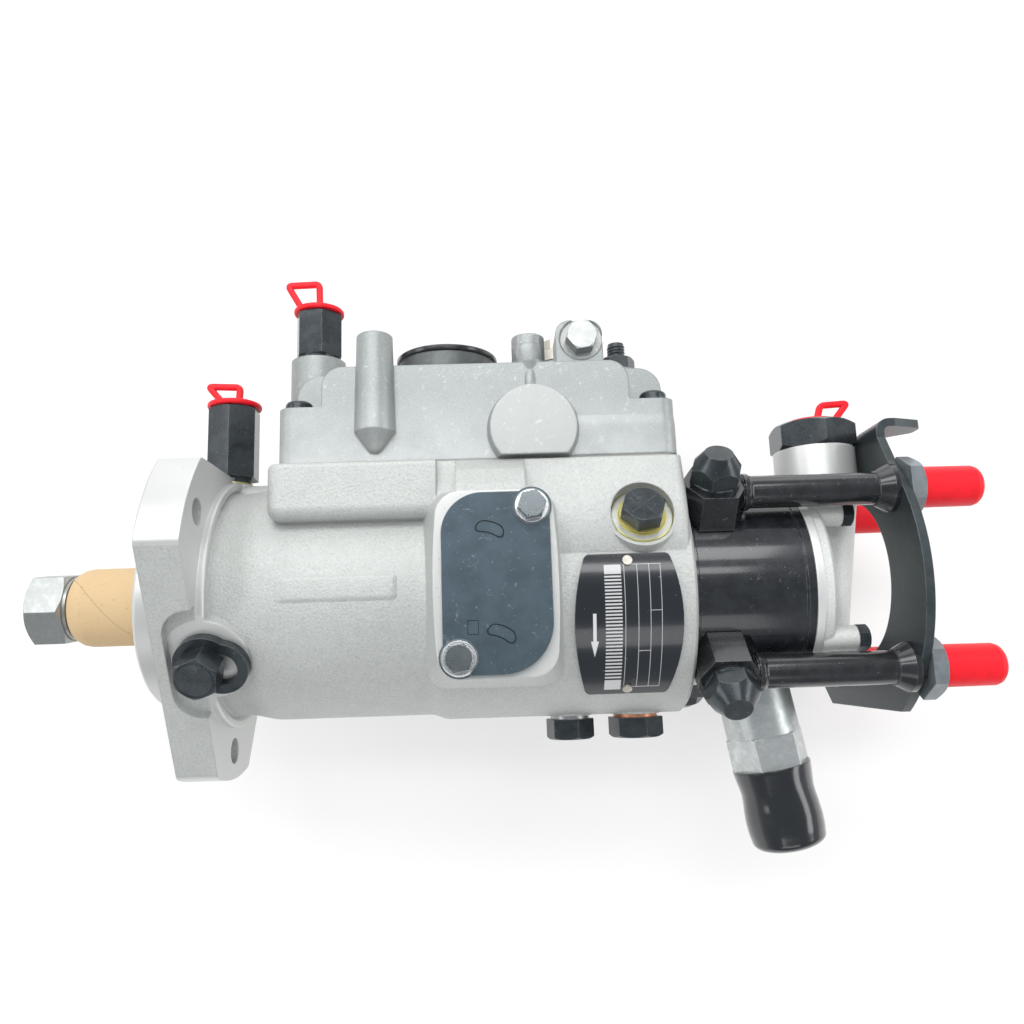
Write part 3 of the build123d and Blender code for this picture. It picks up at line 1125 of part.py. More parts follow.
def cover_screw(x, y):
    """Low domed screw with a thin flange on a ledge of the cover."""
    head = disc(up(x, y, LEDGE_TOP), 5.4, 1.0)
    dome = disc(up(x, y, LEDGE_TOP), 4.7, 4.0)
    head += fillet(dome.edges().group_by(Axis.Z)[-1], 1.6)
    head -= extrude(up(x, y, LEDGE_TOP + 2.0) * RegularPolygon(2.5, 6, major_radius=False), 5)
    return head + disc(down(x, y, LEDGE_TOP + 0.5), COVER_SCREW_R - 0.02, LEDGE_TOP - GASKET_PLANE + 12)


def cover_plug():
    """Large round plug in the top of the cover."""
    plug = disc(up(COVER_PLUG_X, 0, SPINE_TOP), COVER_PLUG_R, COVER_PLUG_TOP - SPINE_TOP)
    return plug + disc(up(COVER_PLUG_X, 0, BLOCK_TOP - 8), COVER_PLUG_R - 3.02, SPINE_TOP - BLOCK_TOP + 9)


def cover_plug_ring():
    """Black retaining ring on the large plug."""
    seat = up(COVER_PLUG_X, 0, COVER_PLUG_TOP)
    ring = disc(seat, COVER_RING_R, COVER_RING_TOP - COVER_PLUG_TOP)
    ring = fillet(ring.edges(), 0.7)
    return ring - disc(seat, COVER_RING_R - 3.2, 5)


def return_union():
    """Black union of the fuel return."""
    union = chamfered_hexagon(up(UNION_X, 0, UNION_HEX_BOTTOM), UNION_FLATS, UNION_HEX_TOP - UNION_HEX_BOTTOM, 48)
    union += disc(up(UNION_X, 0, UNION_BOSS_TOP), UNION_FLATS / 2 - 0.2, UNION_HEX_BOTTOM - UNION_BOSS_TOP + 1)
    union += disc(up(UNION_X, 0, UNION_BOSS_TOP - 12), 4.95, 14)
    return union - disc(up(UNION_X, 0, UNION_BOSS_TOP - 13), 3.6, 60)


def timing_union():
    """Long black union on top of the neck."""
    base = up(TIMING_X, 0, TIMING_HEX_BOTTOM)
    union = chamfered_hexagon(base, TIMING_FLATS, TIMING_HEX_TOP - TIMING_HEX_BOTTOM, 35)
    union += disc(up(TIMING_X, 0, TIMING_SEAT + 1.0), 7.0, 4)
    union += disc(up(TIMING_X, 0, TIMING_SEAT - 11), 4.95, 13)
    return union - disc(up(TIMING_X, 0, TIMING_SEAT - 12), 3.6, 60)


def union_washer(x, z, radius):
    """Plated washer under a union."""
    return disc(up(x, 0, z), radius, 1.0) - disc(up(x, 0, z - 1), 5.0, 4)


def lug_bolt():
    """Plated bolt in the cover's lug."""
    face = LUG_NEAR + 0.8
    head = chamfered_hexagon(near(LUG_BOLT_X, face, LUG_BOLT_Z), LUG_BOLT_FLATS, 5.5, 8)
    return head + rod(3.95, (LUG_BOLT_X, face - 1, LUG_BOLT_Z), (LUG_BOLT_X, LUG_FAR + 1.5, LUG_BOLT_Z))


def stop_screw():
    """Speed stop screw standing in the cover."""
    return disc(up(STOP_X, STOP_Y, STOP_BOSS_TOP - 12), STOP_R - 0.02, STOP_TOP - STOP_BOSS_TOP + 12)


def stop_nut():
    """Locknut of the stop screw."""
    nut = chamfered_hexagon(up(STOP_X, STOP_Y, STOP_BOSS_TOP), STOP_NUT_FLATS, 5.5, 0, both=True)
    return nut - disc(up(STOP_X, STOP_Y, STOP_BOSS_TOP - 1), STOP_R, 10)


# ---------------------------------------------------------------- side fittings
def inspection_outline():
    """Outline of the inspection cover with two large corners and two bolt lugs."""
    x0, x1, h = INSPECTION_START, INSPECTION_END, INSPECTION_HALF_H
    left, right = 13.0, 16.0
    with BuildSketch() as sketch:
        with BuildLine():
            Line((x1, h - 1), (x1, -h + right))
            ThreePointArc((x1, -h + right), (x1 - right * 0.293, -h + right * 0.293), (x1 - right, -h))
            Line((x1 - right, -h), (x0, -h))
            Line((x0, -h), (x0, h - left))
            ThreePointArc((x0, h - left), (x0 + left * 0.293, h - left * 0.293), (x0 + left, h))
            Line((x0 + left, h), (x1, h))
            Line((x1, h), (x1, h - 1))
        make_face()
        for x, z in INSPECTION_BOLTS:
            with Locations((x, z)):
                Circle(INSPECTION_LUG_R)
    return sketch.sketch


def inspection_cover():
    """Pressed steel plate over the timing window."""
    trim = inspection_outline()
    for sx, sz in ((1, 1), (-1, -1)):
        bolt = INSPECTION_BOLTS[0] if sx > 0 else INSPECTION_BOLTS[1]
        corner = Pos(bolt[0] + sx * 10, bolt[1] + sz * 10) * Rectangle(20, 20)
        trim -= corner - Pos(bolt[0], bolt[1]) * Circle(INSPECTION_LUG_R)
    for x, z in INSPECTION_BOLTS:
        trim -= Pos(x, z) * Circle(2.5 + SCREW_FIT)
    return extrude(Plane(origin=(0, -PAD_FACE, 0), x_dir=(1, 0, 0), z_dir=(0, -1, 0)) * trim, INSPECTION_THICK)


def inspection_bolt(x, z):
    """Flange bolt of the inspection cover."""
    face = -PAD_FACE - INSPECTION_THICK
    flange = near(x, face, z) * Cone(
        INSPECTION_FLANGE_R, INSPECTION_FLANGE_R - 0.7, 1.4, align=(Align.CENTER, Align.CENTER, Align.MIN))
    head = chamfered_hexagon(near(x, face - 1.0, z), INSPECTION_BOLT_FLATS, 4.2, 10)
    shank = rod(2.48, (x, face - 1, z), (x, -PAD_FACE + 10, z))
    return flange + head + shank


def name_plate():
    """Thin plate bent round the barrel, with barrel-shaped ends."""
    shell = tube_x(REAR_BARREL_R + NAME_PLATE_THICK, REAR_BARREL_R, PLATE_START, NAME_PLATE_END)
    middle_x = (PLATE_START + NAME_PLATE_END) / 2
    middle_z = (NAME_PLATE_LOW + NAME_PLATE_HIGH) / 2
    half_x = (NAME_PLATE_END - PLATE_START) / 2
    half_z = (NAME_PLATE_HIGH - NAME_PLATE_LOW) / 2
    with BuildSketch() as sketch:
        with BuildLine():
            Line((-half_x + 4, half_z), (half_x - 4, half_z))
            ThreePointArc((half_x - 4, half_z), (half_x, 0), (half_x - 4, -half_z))
            Line((half_x - 4, -half_z), (-half_x + 4, -half_z))
            ThreePointArc((-half_x + 4, -half_z), (-half_x, 0), (-half_x + 4, half_z))
        make_face()
        fillet(sketch.vertices(), 2.0)
    cutter = extrude(near(middle_x, 0, middle_z) * sketch.sketch, 60)
    return shell & cutter


def plate_rivet(z):
    """Domed rivet of the name plate."""
    outer = REAR_BARREL_R + NAME_PLATE_THICK
    angle = 180 - degrees(asin(z / outer))
    return disc(radial((PLATE_START + NAME_PLATE_END) / 2, angle, outer), 1.6, 0.8)


def locating_bolt():
    """Bolt that locates the hydraulic head in the housing."""
    seat = radial(LOCATING_X, LOCATING_ANGLE, LOCATING_SEAT + 1.6)
    head = chamfered_hexagon(seat, LOCATING_FLATS, 5.5, 12)
    shank = disc(radial(LOCATING_X, LOCATING_ANGLE, LOCATING_TIP + 0.5), 3.95, LOCATING_SEAT - LOCATING_TIP + 1.5)
    return head + shank


def locating_washer():
    """Plated washer under the locating bolt."""
    seat = radial(LOCATING_X, LOCATING_ANGLE, LOCATING_SEAT)
    return disc(seat, 7.6, 1.6) - disc(seat, 4.0, 3)


def lock_spacer():
    """Keyhole spacer under the lock bolt."""
    seat = radial(LOCK_X, LOCK_ANGLE, LOCK_SEAT)
    lobe = Pos(5.0, -1.5)
    plate = Circle(9.8) + lobe * Circle(9.0)
    plate -= lobe * Circle(5.6)
    plate -= Circle(4.1)
    plate -= Pos(2.6, -0.8) * Rectangle(5.0, 5.6)
    return extrude(seat * plate, LOCK_SPACER_THICK)


def lock_bolt():
    """Bolt that locks the drive shaft in transit."""
    seat = radial(LOCK_X, LOCK_ANGLE, LOCK_SEAT + LOCK_SPACER_THICK)
    head = chamfered_hexagon(seat, LOCK_FLATS, LOCK_HEAD_LEN, 20)
    start = BUSH_R + 1.5
    length = LOCK_SEAT + LOCK_SPACER_THICK - start + 1
    return head + disc(radial(LOCK_X, LOCK_ANGLE, start), 3.95, length)


def bottom_plug(x, flats):
    """Hexagon plug screwed up into the bottom of the housing."""
    plug = chamfered_hexagon(down(x, 0, -BOTTOM_FLAT - PLUG_WASHER_LEN), flats, PLUG_HEX_LEN, 15)
    return plug + disc(down(x, 0, -BOTTOM_FLAT + 2), 4.95, 4)


def plug_washer(x, radius):
    """Sealing washer of a bottom plug."""
    seat = down(x, 0, -BOTTOM_FLAT)
    return disc(seat, radius, PLUG_WASHER_LEN) - disc(down(x, 0, -BOTTOM_FLAT + 1), 5.0, 4)


def half_turn(solid):
    """The same solid on the other side of the shaft."""
    return Rot(180, 0, 0) * solid


# ---------------------------------------------------------------- assembly
PARTS["pump_housing"] = pump_housing()
PARTS["control_cover"] = control_cover()
PARTS["cover_gasket"] = cover_gasket()
PARTS["cover_screws"] = group([cover_screw(x, y) for x, y in COVER_SCREWS])
PARTS["cover_plug"] = cover_plug()
PARTS["cover_plug_ring"] = cover_plug_ring()
PARTS["return_union"] = return_union()
PARTS["timing_union"] = timing_union()
PARTS["plated_washers"] = group([
    union_washer(TIMING_X, TIMING_SEAT, 7.4), locating_washer(), plug_washer(BOTTOM_PLUGS[0][0], BOTTOM_PLUGS[0][2])])
PARTS["copper_washer"] = plug_washer(BOTTOM_PLUGS[1][0], BOTTOM_PLUGS[1][2])
PARTS["union_plugs"] = group([
    pull_plug(TIMING_X, TIMING_HEX_TOP, 10.0, 5, 3.5, -1), pull_plug(UNION_X, UNION_HEX_TOP, 9.6, 5, 3.5, -1),
    pull_plug(INLET_X, ADAPTER_TOP, 12.5, 5, 5.4, 1)])
PARTS["lug_bolt"] = lug_bolt()
PARTS["stop_screw"] = group([stop_screw(), stop_nut()])
PARTS["inspection_cover"] = inspection_cover()
PARTS["inspection_bolts"] = group([inspection_bolt(x, z) for x, z in INSPECTION_BOLTS])
PARTS["name_plate"] = name_plate()
PARTS["plate_rivets"] = group([plate_rivet(z) for z in (NAME_PLATE_HIGH - 2.4, NAME_PLATE_LOW + 2.0)])
PARTS["locating_bolt"] = locating_bolt()
PARTS["lock_spacer"] = lock_spacer()
PARTS["lock_bolt"] = lock_bolt()
PARTS["housing_plugs"] = group([bottom_plug(x, flats) for x, flats, _ in BOTTOM_PLUGS] + [advance_plug()])
PARTS["hydraulic_head"] = hydraulic_head()
PARTS["outlet_pipes"] = group(ring_of(OUTLETS, OUTLET_FIRST_ANGLE, outlet_pipe()))
PARTS["banjo_bolts"] = group(ring_of(OUTLETS, OUTLET_FIRST_ANGLE, banjo_bolt()))
PARTS["outlet_nuts"] = group(outlet_nuts())
PARTS["outlet_caps"] = group(ring_of(OUTLETS, OUTLET_FIRST_ANGLE, outlet_cap()))
PARTS["outlet_bracket"] = outlet_bracket()
PARTS["end_plate"] = end_plate()
PARTS["end_plate_bolts"] = group([end_plate_bolt(i) for i in range(PLATE_BOLTS)])
PARTS["inlet_adapter"] = inlet_adapter()
PARTS["solenoid_body"] = solenoid_body()
PARTS["solenoid_cap"] = solenoid_cap()
PARTS["solenoid_pin"] = solenoid_pin()
PARTS["shaft_bush"] = shaft_bush()
PARTS["shaft_seals"] = shaft_seals()
PARTS["governor_bracket"] = governor_bracket()
PARTS["transfer_liner"] = transfer_liner()
PARTS["drive_shaft"] = drive_shaft()
PARTS["drive_nut"] = drive_nut()
PARTS["lock_washer"] = lock_washer()
PARTS["transport_sleeve"] = transport_sleeve()
PARTS["weight_cage"] = weight_cage()
PARTS["distributor_rotor"] = distributor_rotor()
PARTS["transfer_rotor"] = transfer_rotor()
PARTS["transfer_vanes"] = transfer_vanes()
for number, weight in enumerate(ring_of(WEIGHTS, 0, flyweight()), 1):
    PARTS[f"flyweight_{number}"] = weight
PARTS["thrust_sleeve"] = thrust_sleeve()
PARTS["governor_arm"] = governor_arm()
PARTS["governor_spring"] = governor_spring()
PARTS["control_link"] = control_link()
PARTS["metering_valve"] = metering_valve()
PARTS["throttle_shaft"] = throttle_shaft()
PARTS["throttle_lever"] = group([throttle_lever(), throttle_nut()])
PARTS["cam_ring"] = group([cam_ring(), cam_screw()])
PARTS["advance_piston"] = group([advance_piston(), advance_spring()])
plunger_set = group([pump_plunger(), roller_shoe(), cam_roller()])
for number, turn in enumerate((0, 180), 1):
    PARTS[f"plunger_{number}"] = Rot(turn, 0, 0) * plunger_set

os.makedirs("parts", exist_ok=True)
for name, shape in PARTS.items():
    export_step(shape, f"parts/{name}.step")
    print(name, len(shape.solids()), round(sum(s.volume for s in shape.solids())))
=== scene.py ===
"""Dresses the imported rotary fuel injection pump: finishes, printed plate, small cast and turned details, studio."""

from __future__ import annotations

import logging
import math
from dataclasses import dataclass, field
from enum import Enum
from typing import Any, ClassVar, Mapping, Sequence

import bmesh
import bpy
import numpy as np
from mathutils import Matrix, Vector

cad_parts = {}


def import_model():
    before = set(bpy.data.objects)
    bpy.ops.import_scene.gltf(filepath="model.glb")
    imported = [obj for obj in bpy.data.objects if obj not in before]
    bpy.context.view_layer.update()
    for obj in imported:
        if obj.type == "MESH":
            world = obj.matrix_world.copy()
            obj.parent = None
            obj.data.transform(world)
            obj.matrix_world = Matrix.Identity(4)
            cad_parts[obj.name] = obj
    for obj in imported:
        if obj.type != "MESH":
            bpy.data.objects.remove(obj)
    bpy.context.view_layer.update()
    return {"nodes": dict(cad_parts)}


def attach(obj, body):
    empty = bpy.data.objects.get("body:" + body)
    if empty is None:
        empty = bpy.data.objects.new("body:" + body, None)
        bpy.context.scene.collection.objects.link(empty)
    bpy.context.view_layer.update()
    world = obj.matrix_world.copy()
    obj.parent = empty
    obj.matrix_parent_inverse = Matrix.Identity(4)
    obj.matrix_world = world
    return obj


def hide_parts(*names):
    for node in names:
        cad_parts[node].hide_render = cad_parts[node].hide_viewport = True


LOG = logging.getLogger("injection_pump")
MM = 0.001
Colour = tuple[float, float, float]
Point = tuple[float, float, float]


def shaded(colour: Colour, factor: float) -> Colour:
    """The colour made darker or lighter by a factor."""
    return tuple(c * factor for c in colour)


def placed(name: str, data: bpy.types.ID) -> bpy.types.Object:
    """Adds an object that carries a mesh, lamp or camera.

    Args:
        name: The object's name.
        data: What it carries.

    Returns:
        The new object, at the origin.
    """
    made = bpy.data.objects.new(name, data)
    bpy.context.collection.objects.link(made)
    return made


# ---------------------------------------------------------------- shader expressions
class Nodes:
    """Adds nodes and links to one node tree."""

    def __init__(self, tree: bpy.types.NodeTree) -> None:
        """Starts from the emptied tree of a material or world."""
        self.tree = tree
        self.tree.nodes.clear()

    def link(self, source: Any, target: bpy.types.NodeSocket) -> None:
        """Links a socket, a Value or a node's first output to an input, or sets the input to a plain value.

        Args:
            source: What feeds the input.
            target: The input socket.
        """
        if isinstance(source, Value):
            source = source.socket
        if isinstance(source, bpy.types.Node):
            source = source.outputs[0]
        if isinstance(source, bpy.types.NodeSocket):
            self.tree.links.new(source, target)
        elif isinstance(source, tuple) and len(source) == 3 and len(getattr(target, "default_value", ())) == 4:
            target.default_value = (*source, 1.0)
        else:
            target.default_value = source

    def node(self, kind: str, settings: Mapping[str, Any] | None = None,
             inputs: Mapping[Any, Any] | None = None) -> bpy.types.Node:
        """Adds one node.

        Args:
            kind: The node's type without the ShaderNode prefix.
            settings: Properties that are set first.
            inputs: Values or links by input name or index.

        Returns:
            The new node.
        """
        node = self.tree.nodes.new("ShaderNode" + kind)
        for key, value in (settings or {}).items():
            setattr(node, key, value)
        for key, value in (inputs or {}).items():
            self.link(value, node.inputs[key])
        return node

    def math(self, operation: str, *values: Value | float, clamp: bool = False) -> Value:
        """A Math node on up to three values; clamp holds the result between 0 and 1."""
        node = self.node("Math", {"operation": operation, "use_clamp": clamp}, dict(enumerate(values)))
        return Value(self, node.outputs[0])

    def split(self, vector: Any, scale: float = 1.0) -> tuple[Value, Value, Value]:
        """The three numbers of a vector, each multiplied by a scale."""
        parts = self.node("SeparateXYZ", {}, {0: vector})
        return tuple(Value(self, parts.outputs[i]) * scale for i in range(3))

    def mix(self, factor: Value | float, first: Any, second: Any) -> bpy.types.NodeSocket:
        """Blend of two colours or sockets; a factor of 0 gives the first and 1 the second."""
        node = self.node("Mix", {"data_type": "RGBA"}, {"Factor": factor, 6: first, 7: second})
        return node.outputs[2]


class Value:
    """A number that changes over a surface: a wrapped shader socket with the usual operators."""

    def __init__(self, nodes: Nodes, socket: bpy.types.NodeSocket) -> None:
        """Wraps an output socket that carries a number, with the tree that it belongs to."""
        self.nodes = nodes
        self.socket = socket

    def apply(self, operation: str, *others: Value | float, clamp: bool = False) -> Value:
        """One Math node on this value; the others are its second and third operands."""
        return self.nodes.math(operation, self, *others, clamp=clamp)

    def __add__(self, other: Value | float) -> Value:
        """Sum."""
        return self.apply("ADD", other)

    __radd__ = __add__

    def __mul__(self, other: Value | float) -> Value:
        """Product."""
        return self.apply("MULTIPLY", other)

    __rmul__ = __mul__

    def __sub__(self, other: Value | float) -> Value:
        """Difference."""
        return self.apply("SUBTRACT", other)

    def __rsub__(self, other: Value | float) -> Value:
        """Difference with the number on the left."""
        return self.nodes.math("SUBTRACT", other, self)

    def __pow__(self, other: Value | float) -> Value:
        """Power."""
        return self.apply("POWER", other)

    def __abs__(self) -> Value:
        """Size without sign."""
        return self.apply("ABSOLUTE")

    def above(self, edge: float, soft: float = 0.0) -> Value:
        """1 where the value is over an edge, with a soft step of the given width.

        Args:
            edge: The value at the middle of the step.
            soft: The width of the step; 0 is a hard step.

        Returns:
            A mask from 0 to 1.
        """
        if soft <= 0:
            return self.apply("GREATER_THAN", edge)
        return ((self - (edge - soft / 2)) * (1 / soft)).held()

    def below(self, edge: float, soft: float = 0.0) -> Value:
        """1 where the value is under an edge; see above."""
        return 1 - self.above(edge, soft)

    def between(self, low: float, high: float, soft: float = 0.0) -> Value:
        """1 inside a band; see above."""
        return self.above(low, soft) * self.below(high, soft)

    def near(self, middle: float, width: float, soft: float = 0.1) -> Value:
        """1 within half a width of a middle value."""
        return abs(self - middle).below(width / 2, soft)

    def wave(self, period: float) -> Value:
        """Sine of the value with the given period."""
        return (self * (2 * math.pi / period)).apply("SINE")

    def held(self) -> Value:
        """The value held between 0 and 1."""
        return self.apply("ADD", 0.0, clamp=True)

    def least(self, other: Value | float) -> Value:
        """The smaller of two."""
        return self.apply("MINIMUM", other)

    def most(self, other: Value | float) -> Value:
        """The larger of two."""
        return self.apply("MAXIMUM", other)


def distance(first: Value, second: Value) -> Value:
    """Length of a flat offset: the root of the sum of two squares."""
    return (first * first + second * second) ** 0.5


class Kit(Nodes):
    """Makes the nodes of one material."""

    def __init__(self, name: str) -> None:
        """Starts a material with a Principled BSDF on its output.

        Args:
            name: The material's name.
        """
        self.material = bpy.data.materials.new(name)
        self.material.use_nodes = True
        super().__init__(self.material.node_tree)
        self.shader = self.node("BsdfPrincipled")
        self.output = self.node("OutputMaterial", {}, {"Surface": self.shader})
        self.place = self.node("TexCoord").outputs["Object"]

    def axes(self) -> tuple[Value, Value, Value]:
        """X, Y and Z of the place in the pump's frame, in millimetres."""
        return self.split(self.place, 1000.0)

    def noise(self, size_mm: float, detail: float = 3.0, roughness: float = 0.5, stretch: Point = (1, 1, 1)) -> Value:
        """Noise with grains of about the given size.

        Args:
            size_mm: The size of a grain.
            detail: How many finer layers are added.
            roughness: How strong the finer layers are.
            stretch: Factors on the place along the three axes.

        Returns:
            A value from 0 to 1.
        """
        mapped = self.node("Mapping", {}, {"Vector": self.place, "Scale": stretch})
        inputs = {"Vector": mapped, "Scale": 1000.0 / size_mm, "Detail": detail, "Roughness": roughness}
        return Value(self, self.node("TexNoise", {}, inputs).outputs[0])

    def cells(self, size_mm: float) -> Value:
        """Distance to the nearest point of a random scatter, from 0 to about 1."""
        node = self.node("TexVoronoi", {}, {"Vector": self.place, "Scale": 1000.0 / size_mm})
        return Value(self, node.outputs[0])

    def hairs(self, size_mm: float, width_mm: float, share: float, turn: float = 0.7) -> Value:
        """Fine scratches: the straight edges between long random cells, kept in some patches.

        Args:
            size_mm: The spacing of the lines.
            width_mm: The width of a line.
            share: How much of the surface keeps its lines, from 0 to 1.
            turn: The lines' direction in the plane across Y, in radians.

        Returns:
            A mask from 0 to 1.
        """
        inputs = {"Vector": self.place, "Rotation": (0.0, turn, 0.0), "Scale": (1.0, 1.0, 6.0)}
        drawn_out = self.node("Mapping", {"vector_type": "TEXTURE"}, inputs)
        inputs = {"Vector": drawn_out, "Scale": 1000.0 / size_mm}
        edge = Value(self, self.node("TexVoronoi", {"feature": "DISTANCE_TO_EDGE"}, inputs).outputs[0])
        lines = edge.below(width_mm / size_mm * 0.5, width_mm / size_mm * 0.5)
        return lines * self.noise(3.0, 2.0, 0.6).above(0.70 - share * 0.22, 0.04)

    def specks(self, spacing_mm: float, share: float) -> Value:
        """Mask of small scattered dots; the share, from 0 to 1, is how much of the surface keeps them."""
        return self.cells(spacing_mm).below(0.13, 0.06) * self.noise(3.1, 1.0, 0.5).above(0.70 - share * 0.25, 0.03)

    def mottled(self, mask: Value, colour: Colour, low: float, high: float) -> bpy.types.NodeSocket:
        """A colour times a low factor where the mask is 0 and a high one where it is 1."""
        return self.mix(mask, shaded(colour, low), shaded(colour, high))

    def bump(self, height: Value, depth_mm: float, under: Any = None) -> bpy.types.Node:
        """Bump node of a height from 0 to 1, scaled to a depth in millimetres.

        Args:
            height: The height.
            depth_mm: The depth that a height of 1 stands for.
            under: The normal that it starts from.

        Returns:
            The Bump node.
        """
        inputs = {"Height": height, "Distance": depth_mm * MM, "Strength": 1.0}
        if under is not None:
            inputs["Normal"] = under
        return self.node("Bump", {}, inputs)

    def rounded(self, radius_mm: float) -> bpy.types.Node:
        """Normals that look as if every edge had a small radius."""
        return self.node("Bevel", {"samples": 6}, {"Radius": radius_mm * MM})

    def facing_up(self) -> Value:
        """1 on faces that look along Z."""
        return self.split(self.node("NewGeometry").outputs["Normal"])[2].above(0.9)

    def wear_and_glint_edge(self, soft: bpy.types.Node, gain: float = 9.0) -> Value:
        """Where the rounded normal leaves the flat one: 1 minus their dot product, times a gain; it pales edges as
        partly wear and partly painted highlight.
        """
        flat = self.node("NewGeometry").outputs["Normal"]
        dot = self.node("VectorMath", {"operation": "DOT_PRODUCT"}, {0: soft, 1: flat}).outputs["Value"]
        return ((1 - Value(self, dot)) * gain).held()

    def constant(self, **inputs: float) -> None:
        """Sets shader inputs that are the same all over the surface."""
        for key, value in inputs.items():
            self.shader.inputs[key.replace("_", " ")].default_value = value

    def finish(self, **inputs: Any) -> bpy.types.Material:
        """Writes the shader's inputs by name, with underscores for spaces, and returns the material."""
        for key, value in inputs.items():
            self.link(value, self.shader.inputs[key.replace("_", " ")])
        return self.material


# ---------------------------------------------------------------- finishes
@dataclass(frozen=True)
class Finish:
    """Base of every finish: a name, the pieces that carry it and the radius that softens its edges."""

    name: str
    pieces: tuple[str, ...] = ()
    edge_mm: float = 0.3

    def build(self) -> bpy.types.Material:
        """Makes the material."""
        raise NotImplementedError


@dataclass(frozen=True)
class BoltSeat:
    """Where a bolt stands on the barrel: its place along X, and its outward axis in Y and Z."""

    x: float
    out: tuple[float, float]

    def offsets(self, kit: Kit) -> tuple[Value, Value, Value]:
        """The two offsets across the bolt's axis and the distance along it."""
        x, y, z = kit.axes()
        y_out, z_out = self.out
        return x - self.x, y * z_out - z * y_out, y * y_out + z * z_out


LOCATING_SEAT = BoltSeat(157.5, (-0.891, 0.454))
LOCK_SEAT = BoltSeat(15.2, (-0.866, -0.5))


@dataclass(frozen=True)
class CastMetal(Finish):
    """Sand-cast light alloy with machined faces that show as brighter, smoother patches."""

    # Paler skin colour, blended in where the foot mask is set.
    paler_tone: ClassVar[Colour] = (0.62, 0.64, 0.63)
    scratched: ClassVar[Colour] = (0.72, 0.73, 0.73)
    colour: Colour = (0.575, 0.595, 0.58)
    machined: Colour = (0.60, 0.61, 0.60)
    grain_mm: float = 0.8
    depth_mm: float = 0.13
    metallic: float = 0.5
    roughness: float = 0.50
    hair: float = 0.1
    metallic_planed: float = 0.55

    def machined_mask(self, kit: Kit) -> Value:
        """Where the casting has been machined."""
        raise NotImplementedError

    def brighter_foot(self, kit: Kit) -> Value | float:
        """Where the skin is made brighter; nowhere for a plain casting."""
        return 0.0

    def build(self) -> bpy.types.Material:
        """Makes the material.

        Returns:
            The material.
        """
        kit = Kit(self.name)
        mask = self.machined_mask(kit)
        cast = 1 - mask
        cloud = kit.noise(11.0, 4.0, 0.6)
        grain = kit.noise(self.grain_mm, 3.0, 0.62)
        pits = kit.cells(self.grain_mm * 1.7).least(0.55)
        hair = (kit.hairs(2.4, 0.09, self.hair) + kit.hairs(3.1, 0.08, self.hair, -0.5)).least(1.0)
        skin = (grain * 0.85 + pits * 0.5 + cloud * 0.3) * cast
        tool = kit.noise(0.4, 2.0, 0.5) * mask * 0.10
        normal = kit.bump(skin + tool - hair * 0.2, self.depth_mm, kit.rounded(self.edge_mm))
        broad = kit.mottled(cloud.between(0.36, 0.72, 0.3), self.colour, 0.92, 1.06)
        dimples = (grain * 1.5 + pits * 0.4 - 0.50).held()
        # The skin blends to the paler colour where the foot mask is set.
        skinned = kit.mix(self.brighter_foot(kit), kit.mix(dimples, shaded(self.colour, 0.74), broad), self.paler_tone)
        planed = kit.mottled(kit.specks(1.9, 0.5) * 0.5, self.machined, 1.0, 0.6)
        colour = kit.mix(hair * 0.3, kit.mix(mask, skinned, planed), self.scratched)
        roughness = (self.roughness + grain * 0.14) * cast + (0.34 + cloud * 0.10) * mask
        metallic = self.metallic * cast + self.metallic_planed * mask
        return kit.finish(Base_Color=colour, Roughness=roughness, Metallic=metallic, Normal=normal)


@dataclass(frozen=True)
class HousingMetal(CastMetal):
    """The housing's casting with its machined flange, pads and seats."""

    front_x: float = 0.15
    ring_x: tuple[float, float] = (13.8, 16.8)
    ring_r: float = 41.0
    rim_x: tuple[float, float] = (-1.0, 14.5)
    rim_r: float = 61.4
    pad_edges: tuple[float, float] = (80.0, -51.9)
    seat_heights: tuple[float, float] = (46.2, 46.8)
    seat_r: float = 10.3
    lock_heights: tuple[float, float] = (41.3, 41.7)
    lock_x: tuple[float, float] = (3.9, 29.0)
    lock_r: float = 14.4
    gasket_edges: tuple[float, float] = (34.4, 42.4)
    rear_x: float = 173.3

    def machined_mask(self, kit: Kit) -> Value:
        """Flange faces, turned rim and ring, inspection pad, bolt seats and the gasket face.

        Args:
            kit: The material's nodes.

        Returns:
            A mask from 0 to 1.
        """
        x, y, z = kit.axes()
        radius = distance(y, z)
        front = x.below(self.front_x) + x.between(*self.ring_x) * radius.above(self.ring_r)
        rim = radius.above(self.rim_r) * x.between(*self.rim_x)
        pad = y.below(self.pad_edges[1]) * x.above(self.pad_edges[0])
        u, v, out = LOCATING_SEAT.offsets(kit)
        seat = out.between(*self.seat_heights) * distance(u, v).below(self.seat_r)
        u, v, out = LOCK_SEAT.offsets(kit)
        lock = out.between(*self.lock_heights) * x.between(*self.lock_x) * distance(u, v).below(self.lock_r)
        gasket = z.above(self.gasket_edges[1]) * x.above(self.gasket_edges[0])
        return (front + rim + pad + seat + lock + gasket + x.above(self.rear_x)).least(1.0)


